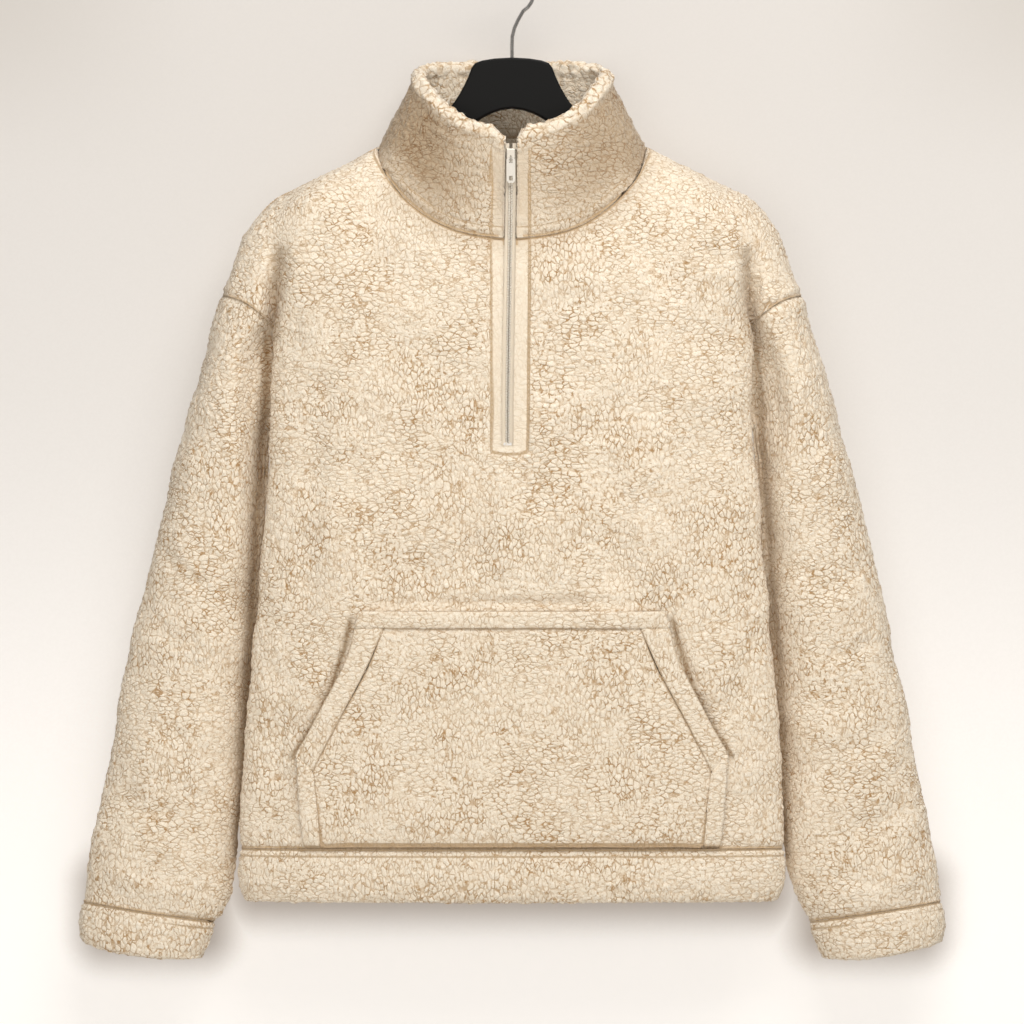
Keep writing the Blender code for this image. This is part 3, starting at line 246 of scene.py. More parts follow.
def plainMaterial(name, low, high, roughness, metallic=0.0, grain=600.0, bump=0.15, reach=0.15 * mm,
                  specular=0.5):
    material, tree, shader = newMaterial(name, roughness, metallic)
    place = addNode(tree, "ShaderNodeTexCoord").outputs["Object"]
    grainNode = addNode(tree, "ShaderNodeTexNoise", {"Vector": place, "Scale": grain, "Detail": 3.0})
    tree.links.new(mixColour(tree, grainNode.outputs["Fac"], low, high), shader.inputs["Base Color"])
    bumpNode = addNode(tree, "ShaderNodeBump", {"Strength": bump, "Distance": reach,
                                                "Height": grainNode.outputs["Fac"]})
    tree.links.new(bumpNode.outputs["Normal"], shader.inputs["Normal"])
    shader.inputs["Specular IOR Level"].default_value = specular
    rough = easedRange(tree, grainNode.outputs["Fac"], 0.3, 0.7,
                       max(roughness - 0.06, 0.02), roughness + 0.06)
    tree.links.new(rough, shader.inputs["Roughness"])
    return material


def tapeMaterial():
    material, tree, shader = newMaterial("wovenTape", 0.85)
    place = addNode(tree, "ShaderNodeTexCoord").outputs["Object"]
    weft = addNode(tree, "ShaderNodeTexWave", {"Vector": place, "Scale": 320.0}, bands_direction="Z")
    warp = addNode(tree, "ShaderNodeTexWave", {"Vector": place, "Scale": 420.0}, bands_direction="X")
    weave = maths(tree, "MULTIPLY", weft.outputs["Fac"], warp.outputs["Fac"])
    colour = mixColour(tree, weave, (0.76, 0.68, 0.56), (0.86, 0.79, 0.68))
    tree.links.new(colour, shader.inputs["Base Color"])
    bump = addNode(tree, "ShaderNodeBump", {"Strength": 0.5, "Distance": 0.2 * mm, "Height": weave})
    tree.links.new(bump.outputs["Normal"], shader.inputs["Normal"])
    return material


sherpa = fleeceMaterial()
backing = backingMaterial()
tapeCloth = tapeMaterial()
coilNylon = plainMaterial("coilNylon", (0.80, 0.74, 0.64), (0.88, 0.83, 0.74), 0.5, grain=900.0)
thread = plainMaterial("sewingThread", (0.68, 0.56, 0.42), (0.80, 0.69, 0.54), 0.7, grain=3000.0, bump=0.4)
sliderMetal = plainMaterial("sliderMetal", (0.42, 0.39, 0.34), (0.62, 0.58, 0.52), 0.3,
                            metallic=0.85, grain=350.0)
pullFinish = plainMaterial("pullEnamel", (0.66, 0.62, 0.55), (0.76, 0.72, 0.66), 0.35, grain=500.0)
hangerPlastic = plainMaterial("hangerPlastic", (0.003, 0.003, 0.003), (0.007, 0.007, 0.007), 0.45,
                              grain=1400.0, bump=0.25, reach=0.12 * mm, specular=0.13)
hookSteel = plainMaterial("hookSteel", (0.40, 0.39, 0.38), (0.55, 0.54, 0.53), 0.2, metallic=1.0, grain=260.0,
                          bump=0.05)
print("materials made:", len(bpy.data.materials))


def ease(value, low, high):
    share = np.clip((value - low) / (high - low), 0.0, 1.0)
    return share * share * (3.0 - 2.0 * share)


def regionsOf(work, angle, barred):
    # groups of faces that meet at less than this angle, without the barred ones
    seen = {}
    groups = []
    for face in work.faces:
        if face in seen or face in barred:
            continue
        group = [face]
        seen[face] = len(groups)
        for item in group:
            for edge in item.edges:
                if len(edge.link_faces) != 2:
                    continue
                other = edge.link_faces[0] if edge.link_faces[1] == item else edge.link_faces[1]
                if other in seen or other in barred:
                    continue
                if item.normal.angle(other.normal, 0.0) < angle:
                    seen[other] = len(groups)
                    group.append(other)
        groups.append(group)
    return groups


def subdivided(mesh, levels):
    holder = bpy.data.objects.new("holder", mesh)
    scene.collection.objects.link(holder)
    modifier = holder.modifiers.new("round", "SUBSURF")
    modifier.levels = levels
    modifier.render_levels = levels
    modifier.boundary_smooth = "PRESERVE_CORNERS"
    graph = bpy.context.evaluated_depsgraph_get()
    result = bpy.data.meshes.new_from_object(holder.evaluated_get(graph))
    bpy.data.objects.remove(holder, do_unlink=True)
    return result


def placesOf(mesh):
    places = np.empty(len(mesh.vertices) * 3)
    mesh.vertices.foreach_get("co", places)
    return places.reshape(-1, 3)


def setPlaces(mesh, places):
    mesh.vertices.foreach_set("co", np.ascontiguousarray(places, dtype=np.float32).ravel())
    mesh.update()


def roundedThrough(mesh, levels):
    # a smooth surface that still passes through the solid's own points
    wanted = placesOf(mesh)
    cage = wanted.copy()
    for attempt in range(3):
        setPlaces(mesh, cage)
        smooth = subdivided(mesh, levels if attempt == 2 else 1)
        if attempt < 2:
            cage += wanted - placesOf(smooth)[:len(wanted)]
            bpy.data.meshes.remove(smooth)
    return smooth


def wallDepths(work):
    # how far each face's own inward ray runs to the other side of the wall
    solid = BVHTree.FromBMesh(work)
    depths = {}
    for face in work.faces:
        start = face.calc_center_median() - face.normal * 0.05 * mm
        hit = solid.ray_cast(start, -face.normal)
        depths[face] = hit[3] if hit[0] is not None else 1.0
    return depths


def coverFaces(work, kind, facing):
    # the faces that carry pile: the outside of a wall, or all but the seam of a folded band
    if kind == "patch":
        under = max(regionsOf(work, math.radians(60), set()),
                    key=lambda group: sum(face.normal.y * face.calc_area() for face in group))
        return [face for face in work.faces if face not in set(under)]
    depths = wallDepths(work)
    if kind == "band":
        return [face for face in work.faces if depths[face] < 15 * mm or face.normal.z * facing < 0.35]
    rim = {face for face in work.faces if depths[face] > 6.5 * mm}
    groups = regionsOf(work, math.radians(50), rim)
    groups.sort(key=lambda group: -sum(face.calc_area() for face in group))
    if facing:
        groups = groups[:2]
        groups.sort(key=lambda group: -facing * sum(face.normal.y * face.calc_area() for face in group))
    return groups[0]


def clothPiece(nodeName, pieceName, kind, facing=0):
    work = bmesh.new()
    work.from_mesh(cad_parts[nodeName].data)
    bmesh.ops.remove_doubles(work, verts=work.verts, dist=1e-6)
    bmesh.ops.join_triangles(work, faces=work.faces, angle_face_threshold=math.radians(40),
                             angle_shape_threshold=math.pi)
    work.normal_update()
    outer = coverFaces(work, kind, facing)
    for face in work.faces:
        face.material_index = 1
        face.smooth = True
    for face in outer:
        face.material_index = 0
    crease = work.edges.layers.float.new("crease_edge")
    for edge in work.edges:
        if len({face.material_index for face in edge.link_faces}) == 2:
            edge[crease] = 1.0
        elif edge.calc_face_angle(0.0) > math.radians(60):
            edge[crease] = 0.35 if kind == "patch" else 1.0
    cage = bpy.data.meshes.new(pieceName)
    work.to_mesh(cage)
    work.free()
    smooth = roundedThrough(cage, 2)

    work = bmesh.new()
    work.from_mesh(smooth)
    for attempt in range(5):
        longEdges = [edge for edge in work.edges if edge.calc_length() > fleece["longestEdge"]
                     and any(face.material_index == 0 for face in edge.link_faces)]
        if not longEdges:
            break
        bmesh.ops.subdivide_edges(work, edges=longEdges, cuts=1, use_grid_fill=True)
    bmesh.ops.triangulate(work, faces=[face for face in work.faces if len(face.verts) > 4])
    fine = bpy.data.meshes.new(pieceName)
    work.to_mesh(fine)
    work.free()
    return fine


def outerMask(mesh):
    # 1 where every face round a point carries pile, 0.5 on the border, 0 inside
    total = np.zeros(len(mesh.vertices))
    outside = np.zeros(len(mesh.vertices))
    for polygon in mesh.polygons:
        for vertex in polygon.vertices:
            total[vertex] += 1
            outside[vertex] += polygon.material_index == 0
    share = outside / np.maximum(total, 1)
    return np.where(share > 0.999, 1.0, np.where(share > 0.0, 0.5, 0.0))


def pointNormals(mesh, cover):
    # normals from the outer faces alone, so that a border isn't turned by its seam face
    places = placesOf(mesh)
    normals = np.zeros_like(places)
    for polygon in mesh.polygons:
        if polygon.material_index == 0:
            weight = np.array(polygon.normal) * polygon.area
            for vertex in polygon.vertices:
                normals[vertex] += weight
    length = np.linalg.norm(normals, axis=1, keepdims=True)
    return normals / np.maximum(length, 1e-12)


def lineDistance(points, line):
    # distance from each point to a line of points, and the share of its length where the nearest place is
    line = np.asarray(line, float)
    lengths = np.linalg.norm(np.diff(line, axis=0), axis=1)
    start = np.concatenate([[0.0], np.cumsum(lengths)])
    best = np.full(len(points), 1e9)
    where = np.zeros(len(points))
    for n in range(len(line) - 1):
        step = line[n + 1] - line[n]
        share = np.clip(((points - line[n]) @ step) / (step @ step), 0.0, 1.0)
        gap = np.linalg.norm(points - line[n] - share[:, None] * step, axis=1)
        nearer = gap < best
        best[nearer] = gap[nearer]
        where[nearer] = (start[n] + share[nearer] * lengths[n]) / start[-1]
    return best, where


# Creases, placed one by one. Each has its side, the places it runs through in millimetres seen from the
# front, its width, and its height, which is below 0 for a trough.
creases = {
    "chestLeftLong": ("front", [(-176, -392), (-181, -470), (-184, -548), (-186, -600)], 15, -2.4),
    "chestLeftRidge": ("front", [(-158, -400), (-163, -480), (-168, -560)], 13, 1.6),
    "chestLeftSoft": ("front", [(-74, -455), (-79, -520), (-84, -575)], 17, -2.0),
    "underZipLeft": ("front", [(-30, -452), (-37, -505), (-40, -568)], 12, -1.6),
    "underZipRidge": ("front", [(-8, -450), (-10, -500), (-8, -560)], 11, 1.4),
    "underZipRight": ("front", [(24, -446), (28, -510), (27, -572)], 13, -1.8),
    "chestRightSoft": ("front", [(84, -430), (92, -500), (102, -572)], 16, -2.2),
    "chestRightRidge": ("front", [(110, -420), (119, -500), (128, -570)], 14, 1.7),
    "chestRightLong": ("front", [(168, -400), (176, -480), (183, -560), (188, -610)], 15, -2.3),
    "neckDragLeft": ("front", [(-96, -236), (-120, -262), (-150, -300), (-172, -352)], 12, -1.8),
    "neckDragRight": ("front", [(94, -232), (124, -258), (152, -300), (176, -356)], 13, -1.9),
    "shoulderDragLeft": ("front", [(-146, -206), (-168, -232), (-186, -268)], 11, -1.5),
    "shoulderDragRight": ("front", [(150, -206), (172, -236), (188, -276)], 11, -1.6),
    "yokePuffLeft": ("front", [(-60, -262), (-84, -300), (-98, -350)], 18, 1.6),
    "yokePuffRight": ("front", [(62, -262), (82, -302), (100, -356)], 18, 1.5),
    "sideLeftLow": ("front", [(-214, -610), (-208, -680), (-214, -750)], 11, -1.5),
    "sideRightLow": ("front", [(212, -600), (207, -672), (213, -742)], 11, -1.6),
    "armLeftInner": ("sleeve", [(-219, -312), (-223, -400), (-231, -500), (-238, -620), (-245, -780)],
                     12, -7.0),
    "openingLeft": ("front", [(-144, -584), (-153, -612), (-163, -642), (-179, -677), (-201, -712)],
                    4.5, -2.4),
    "openingRight": ("front", [(144, -584), (153, -612), (163, -642), (179, -677), (201, -712)], 4.5, -2.4),
    "pocketTop": ("front", [(-150, -572), (-60, -571.5), (60, -571.5), (150, -572)], 5, -1.6),
    "armLeftOuter": ("sleeve", [(-268, -330), (-281, -400), (-298, -480)], 11, 1.8),
    "elbowLeftOne": ("sleeve", [(-322, -520), (-296, -548), (-270, -560)], 9, -2.0),
    "elbowLeftTwo": ("sleeve", [(-330, -590), (-304, -606), (-280, -606)], 9, -1.8),
    "foreLeftOne": ("sleeve", [(-346, -668), (-318, -690), (-290, -694)], 10, -1.7),
    "foreLeftTwo": ("sleeve", [(-360, -742), (-330, -762), (-300, -764)], 10, -1.8),
    "cuffPuffLeft": ("sleeve", [(-374, -812), (-330, -832), (-286, -836)], 9, 1.8),
    "armRightInner": ("sleeve", [(219, -316), (224, -404), (232, -506), (239, -624), (246, -784)], 12, -6.8),
    "armRightOuter": ("sleeve", [(270, -334), (284, -404), (300, -486)], 11, 1.8),
    "elbowRightOne": ("sleeve", [(324, -530), (298, -556), (272, -566)], 9, -1.9),
    "elbowRightTwo": ("sleeve", [(332, -604), (306, -620), (282, -618)], 9, -1.8),
    "foreRightOne": ("sleeve", [(348, -680), (320, -704), (292, -706)], 10, -1.8),
    "foreRightTwo": ("sleeve", [(362, -752), (332, -774), (302, -776)], 10, -1.6),
    "cuffPuffRight": ("sleeve", [(376, -814), (332, -834), (288, -838)], 9, 1.8),
    "backLeftLong": ("back", [(-172, -330), (-178, -430), (-184, -540), (-188, -640)], 16, -2.6),
    "backLeftSoft": ("back", [(-92, -300), (-100, -400), (-106, -520), (-108, -620)], 18, -2.2),
    "backMiddle": ("back", [(-8, -260), (-14, -360), (-10, -480), (-16, -600)], 20, -1.8),
    "backRidgeLeft": ("back", [(-52, -320), (-58, -430), (-62, -560)], 16, 1.7),
    "backRidgeRight": ("back", [(44, -310), (50, -430), (54, -570)], 16, 1.8),
    "backRightSoft": ("back", [(96, -306), (104, -410), (112, -530), (114, -640)], 18, -2.3),
    "backRightLong": ("back", [(174, -336), (182, -440), (188, -550), (190, -650)], 16, -2.5),
    "backYokeLeft": ("back", [(-110, -176), (-140, -214), (-164, -262)], 13, -1.8),
    "backYokeRight": ("back", [(112, -176), (142, -216), (166, -266)], 13, -1.8),
}
# Sewing on the front, seen from the front in millimetres, and how hard it presses the pile
sewing = {
    "placketLeft": ([(-18.8, -164), (-18.6, -243), (-18.4, -330), (-17.9, -400), (-18.6, -435)], 0.95),
    "placketRight": ([(15.8, -164), (15.8, -243), (15.4, -330), (14.6, -400), (13.8, -435)], 0.95),
    "placketEnd": ([(-18.6, -436), (-8, -438), (4, -438), (13.8, -436)], 0.9),
}
# Sewing that follows a piece's own seam: distance from the seam, half of the pressed strip's width, strength
topstitch = {
    "standCollar": (9.5 * mm, 1.5 * mm, 0.8),
    "waistBand": (6.5 * mm, 1.4 * mm, 0.95),
    "cuffLeft": (6.5 * mm, 1.4 * mm, 0.95),
    "cuffRight": (6.5 * mm, 1.4 * mm, 0.95),
    "pocketTopHem": (3.2 * mm, 1.1 * mm, 0.6),
    "pocketOpeningLeft": (4.2 * mm, 1.2 * mm, 0.7),
    "pocketOpeningRight": (4.2 * mm, 1.2 * mm, 0.7),
    "pocketSideLeft": (3.6 * mm, 1.1 * mm, 0.6),
    "pocketSideRight": (3.6 * mm, 1.1 * mm, 0.6),
}
# Painted shade on the pile, at the pocket's openings, under the neck seam, at the body's upper sides and
# where a sleeve passes behind the body
paintedShadeLines = {
    "frontPanel": [([(-143, -578), (-151, -612), (-161, -642), (-177, -677), (-198, -710)], 2.8, 0.9),
                   ([(143, -578), (151, -612), (161, -642), (177, -677), (198, -710)], 2.8, 0.9),
                   ([(-119, -178), (-98, -207), (-74, -229), (-40, -241), (0, -246), (40, -241), (70, -231),
                     (98, -208), (120, -178)], 11.0, 0.26),
                   ([(-209, -246), (-214, -290), (-217, -330)], 6.0, 0.55),
                   ([(209, -246), (214, -290), (217, -330)], 6.0, 0.5)],
    "sleeveLeft": [([(-220, -290), (-226, -400), (-234, -500), (-241, -620), (-249, -800)], 17.0, 0.04),
                   ([(-219, -290), (-225, -400), (-232, -500), (-239, -620), (-247, -800)], 6.0, 0.85)],
    "sleeveRight": [([(220, -290), (227, -404), (235, -506), (242, -624), (250, -800)], 16.0, 0.05),
                    ([(219, -290), (226, -404), (234, -506), (241, -624), (249, -800)], 5.5, 0.65)],
}
# The low pile between the placket's two stitch lines, seen from the front in millimetres
placket = {"middle": -1.5, "half": 16.0, "low": -434.0, "high": -166.0, "slitHalf": 11.0, "slitLow": -436.0}
collarForm = {
    "rimRoll": 2.4 * mm,       # how far the plush rim swells
    "rimFull": 5.0 * mm,       # plush up to here from the rim's top
    "rimEnd": 12.0 * mm,
    "hollow": 3.0 * mm,        # how far the outside falls in between seam and rim
    "hollowAt": 42.0 * mm,     # above the seam
    "hollowReach": 22.0 * mm,
    "corner": 6.0 * mm,        # the rim comes down this far beside the zip
    # painted shade on the collar below the rim: at the front, more towards the sides, and inside
    "shadeFront": 0.34, "shadeSide": 0.50, "shadeInside": 0.12,
}


def applyCreases(mesh, places, cover, fromBorder, kinds):
    # both layers of the cloth move, towards or away from the middle of the body or sleeve
    normals = np.empty(len(places) * 3)
    mesh.vertices.foreach_get("normal", normals)
    outward = normals.reshape(-1, 3)[:, 1] * np.where(cover > 0, 1.0, -1.0)
    flat = places[:, [0, 2]] / mm
    moved = np.zeros(len(places))
    for side, line, width, height in creases.values():
        if side not in kinds:
            continue
        gap, where = lineDistance(flat, line)
        ends = ease(where, 0.0, 0.22) * ease(1.0 - where, 0.0, 0.22)
        uneven = 0.8 + 0.2 * np.sin(where * 9.0 + len(line) + width)
        depth = fleece["creaseShare"] * height * mm
        moved += depth * uneven * ends * np.exp(-(gap / width) ** 2)
    places = places.copy()
    places[:, 1] += moved * np.clip(outward * 1.6, -1.0, 1.0) * ease(fromBorder, 0.0, 14 * mm)
    return places


def borderDistance(mesh, cover):
    places = placesOf(mesh)
    border = np.flatnonzero(cover == 0.5)
    tree = KDTree(len(border))
    for n in border:
        tree.insert(Vector(places[n]), int(n))
    tree.balance()
    return np.array([tree.find(Vector(place))[2] for place in places])


def setAttribute(mesh, name, values):
    layer = mesh.attributes.new(name, "FLOAT", "POINT")
    layer.data.foreach_set("value", np.asarray(values, dtype=np.float32))


def levelLines(mesh, values, level):
    # chains of points where a value given at each vertex passes a level
    places = placesOf(mesh)
    steps = {}
    for polygon in mesh.polygons:
        ring = list(polygon.vertices)
        crossed = []
        for first, second in zip(ring, ring[1:] + ring[:1]):
            low, high = values[first], values[second]
            if low >= 0 and high >= 0 and (low - level) * (high - level) < 0:
                crossed.append((min(first, second), max(first, second)))
        if len(crossed) == 2:
            steps.setdefault(crossed[0], []).append(crossed[1])
            steps.setdefault(crossed[1], []).append(crossed[0])

    def pointOn(edge):
        low, high = values[edge[0]], values[edge[1]]
        return places[edge[0]] + (places[edge[1]] - places[edge[0]]) * (level - low) / (high - low)

    chains = []
    left = dict.fromkeys(sorted(steps, key=lambda edge: (len(steps[edge]), edge)))
    while left:
        edge = next(iter(left))
        chain = [edge]
        del left[edge]
        while True:
            onward = [other for other in steps[chain[-1]] if other in left]
            if not onward:
                break
            del left[onward[0]]
            chain.append(onward[0])
        if len(chain) > 6:
            chains.append([pointOn(item) for item in chain])
    return chains


def pileTree():
    tree = bpy.data.node_groups.new("sherpaPileTree", "GeometryNodeTree")
    face = tree.interface
    face.new_socket("Geometry", in_out="INPUT", socket_type="NodeSocketGeometry")
    for name, value in (("Tuft Size", fleece["tuft"]), ("Pile Height", fleece["height"]),
                        ("Bend", fleece["bend"]), ("Seed", fleece["seed"]), ("Sink", fleece["sink"]),
                        ("Drape", fleece["drape"])):
        socket = face.new_socket(name, in_out="INPUT", socket_type="NodeSocketFloat")
        socket.default_value = value
    face.new_socket("Geometry", in_out="OUTPUT", socket_type="NodeSocketGeometry")
    enter = addNode(tree, "NodeGroupInput")
    leave = addNode(tree, "NodeGroupOutput")
    place = addNode(tree, "GeometryNodeInputPosition").outputs[0]
    normal = addNode(tree, "GeometryNodeInputNamedAttribute", {"Name": "lift"},
                     data_type="FLOAT_VECTOR").outputs[0]
    press, shorn, plush, cover = [addNode(tree, "GeometryNodeInputNamedAttribute", {"Name": name},
                                          data_type="FLOAT").outputs[0]
                                  for name in ("press", "shorn", "plush", "cover")]
    store = addNode(tree, "GeometryNodeStoreNamedAttribute",
                    {"Geometry": enter.outputs["Geometry"], "Name": "restPlace", "Value": place},
                    data_type="FLOAT_VECTOR", domain="POINT")
    bend = addNode(tree, "ShaderNodeTexNoise", {"Vector": place, "W": enter.outputs["Seed"], "Scale": 70.0,
                                                "Detail": 1.0}, noise_dimensions="4D")
    offset = vectorMaths(tree, "SUBTRACT", bend.outputs["Color"], (0.5, 0.5, 0.5))
    moved = vectorMaths(tree, "ADD", place, vectorMaths(tree, "SCALE", offset, scale=enter.outputs["Bend"]))
    wider = maths(tree, "ADD", 1.0, maths(tree, "MULTIPLY", plush, 0.2))
    tuft = maths(tree, "MULTIPLY", enter.outputs["Tuft Size"], wider)
    cells = addNode(tree, "ShaderNodeTexVoronoi",
                    {"Vector": moved, "Scale": maths(tree, "DIVIDE", 1.0, tuft)}, feature="DISTANCE_TO_EDGE")
    high = easedRange(tree, cells.outputs["Distance"], 0.0, 0.34)
    swell = addNode(tree, "ShaderNodeTexNoise", {"Vector": place, "W": enter.outputs["Seed"], "Scale": 38.0,
                                                 "Detail": 1.0}, noise_dimensions="4D").outputs["Fac"]
    pile = maths(tree, "MULTIPLY", high, easedRange(tree, swell, 0.3, 0.7, 0.72, 1.12))
    rise = maths(tree, "MULTIPLY", maths(tree, "SUBTRACT", pile, 0.5), enter.outputs["Pile Height"])
    rise = maths(tree, "MULTIPLY", rise, maths(tree, "ADD", 1.0, maths(tree, "MULTIPLY", plush, 0.9)))
    rise = maths(tree, "MULTIPLY", rise, maths(tree, "SUBTRACT", 1.0, maths(tree, "MULTIPLY", press, 0.8)))
    rise = maths(tree, "MULTIPLY", rise, maths(tree, "SUBTRACT", 1.0, maths(tree, "MULTIPLY", shorn, 0.75)))
    rise = maths(tree, "SUBTRACT", rise, maths(tree, "MULTIPLY", press, enter.outputs["Sink"]))
    broad = addNode(tree, "ShaderNodeTexNoise", {"Vector": place, "W": 11.0, "Scale": 17.0, "Detail": 1.0},
                    noise_dimensions="4D").outputs["Fac"]
    swells = maths(tree, "MULTIPLY", easedRange(tree, broad, 0.3, 0.7, -0.5, 0.5), enter.outputs["Drape"])
    loose = maths(tree, "SUBTRACT", 1.0, maths(tree, "MAXIMUM", press, shorn))
    rise = maths(tree, "ADD", rise, maths(tree, "MULTIPLY", swells, loose))
    rise = maths(tree, "MULTIPLY", rise, cover)
    shift = addNode(tree, "GeometryNodeSetPosition",
                    {"Geometry": store.outputs["Geometry"],
                     "Offset": vectorMaths(tree, "SCALE", normal, scale=rise)})
    keep = addNode(tree, "GeometryNodeStoreNamedAttribute",
                   {"Geometry": shift.outputs["Geometry"], "Name": "pile", "Value": pile},
                   data_type="FLOAT", domain="POINT")
    real = addNode(tree, "GeometryNodeRealizeInstances", {"Geometry": keep.outputs["Geometry"]})
    slotNumber = addNode(tree, "GeometryNodeInputMaterialIndex").outputs[0]
    outside = addNode(tree, "FunctionNodeCompare", {2: slotNumber, 3: 0}, data_type="INT", operation="EQUAL")
    paint = addNode(tree, "GeometryNodeSetMaterial", {"Geometry": real.outputs["Geometry"],
                                                      "Selection": outside.outputs[0], "Material": sherpa})
    tree.links.new(paint.outputs["Geometry"], leave.inputs["Geometry"])
    return tree


pileNodes = pileTree()


def setInputs(modifier, values):
    sockets = {item.name: item.identifier for item in modifier.node_group.interface.items_tree
               if item.item_type == "SOCKET" and item.in_out == "INPUT"}
    for name, value in values.items():
        modifier[sockets[name]] = value


def applied(holder, name):
    # the evaluated result as a plain mesh object
    graph = bpy.context.evaluated_depsgraph_get()
    mesh = bpy.data.meshes.new_from_object(holder.evaluated_get(graph))
    bpy.data.objects.remove(holder, do_unlink=True)
    mesh.name = name
    piece = bpy.data.objects.new(name, mesh)
    scene.collection.objects.link(piece)
    return piece


# node, piece, kind, facing, creases, pile height
clothTable = [
    ("body_back", "backPanel", "wall", 1, ("back",), 1.0),
    ("body_front", "frontPanel", "wall", -1, ("front",), 1.0),
    ("sleeve_left", "sleeveLeft", "tube", 0, ("sleeve",), 1.0),
    ("sleeve_right", "sleeveRight", "tube", 0, ("sleeve",), 1.0),
    ("waistband", "waistBand", "band", 1, (), 1.1),
    ("cuff_left", "cuffLeft", "band", 1, (), 1.0),
    ("cuff_right", "cuffRight", "band", 1, (), 1.0),
    ("collar", "standCollar", "band", -1, (), 1.15),
    ("pocket_panel", "pocketPanel", "patch", 0, (), 1.0),
    ("pocket_top_hem", "pocketTopHem", "patch", 0, (), 0.8),
    ("pocket_opening_left", "pocketOpeningLeft", "patch", 0, (), 0.8),
    ("pocket_opening_right", "pocketOpeningRight", "patch", 0, (), 0.8),
    ("pocket_side_left", "pocketSideLeft", "patch", 0, (), 0.8),
    ("pocket_side_right", "pocketSideRight", "patch", 0, (), 0.8),
]



def slitPile(pieceName, flat, across, besideZip):
    # the slit's own edges neither roll in nor fall back: the low pile runs up to the tape
    height = flat[:, 1]
    nearSlit = besideZip * (across < placket["slitHalf"]) * (height > placket["slitLow"])
    if pieceName == "frontPanel":
        nearSlit *= height < -250
    bare = nearSlit * (1.0 - ease(across, 6.5, 9.0)) * (height < -160)
    shorn = besideZip * (1.0 - ease(across, placket["half"] - 1.5, placket["half"] + 1.0))
    shorn *= ease(height, placket["low"] - 3.0, placket["low"] + 1.0)
    shorn *= 1.0 - ease(height, placket["high"] - 2.0, placket["high"] + 6.0)
    return shorn, bare, nearSlit


def collarPile(places, normals, flat, fromBorder, across, besideZip):
    # the plush rim, its rounded corners beside the zip, and painted shade on the pile below it
    top = np.flatnonzero((normals[:, 2] > 0.6) & (fromBorder > 40 * mm))
    rim = KDTree(len(top))
    for n in top:
        rim.insert(Vector(places[n]), int(n))
    rim.balance()
    fromRim = np.array([rim.find(Vector(place))[2] for place in places])
    plush = 1.0 - ease(fromRim, collarForm["rimFull"], collarForm["rimEnd"])
    outside = (places[:, 0] * normals[:, 0] + (places[:, 1] + 0.003) * normals[:, 1]) > 0
    hollow = np.exp(-((fromBorder - collarForm["hollowAt"]) / collarForm["hollowReach"]) ** 2)
    roll = collarForm["hollow"] * outside * hollow * (1.0 - besideZip * (across < 8.0))
    roll -= collarForm["rimRoll"] * plush * (1.0 - besideZip * (across < 9.0))
    # the painted shade is deeper on the left, where less light falls, and weaker near the seam and at the
    # back
    aside = ease(np.abs(flat[:, 0]), 15.0, 85.0) * np.where(flat[:, 0] < 0, 1.0, 0.75)
    shade = collarForm["shadeFront"] + collarForm["shadeSide"] * aside
    shade *= 0.55 + 0.45 * ease(fromBorder, 6 * mm, 32 * mm)
    shade *= 1.0 - 0.5 * ease(places[:, 1], -10 * mm, 12 * mm)
    paintedShade = (1.0 - plush) * np.where(outside, shade, collarForm["shadeInside"])
    corner = besideZip * (1.0 - ease(across, 6.0, 17.0))
    return plush, paintedShade, roll, collarForm["corner"] * corner * ease(flat[:, 1], -172, -148)


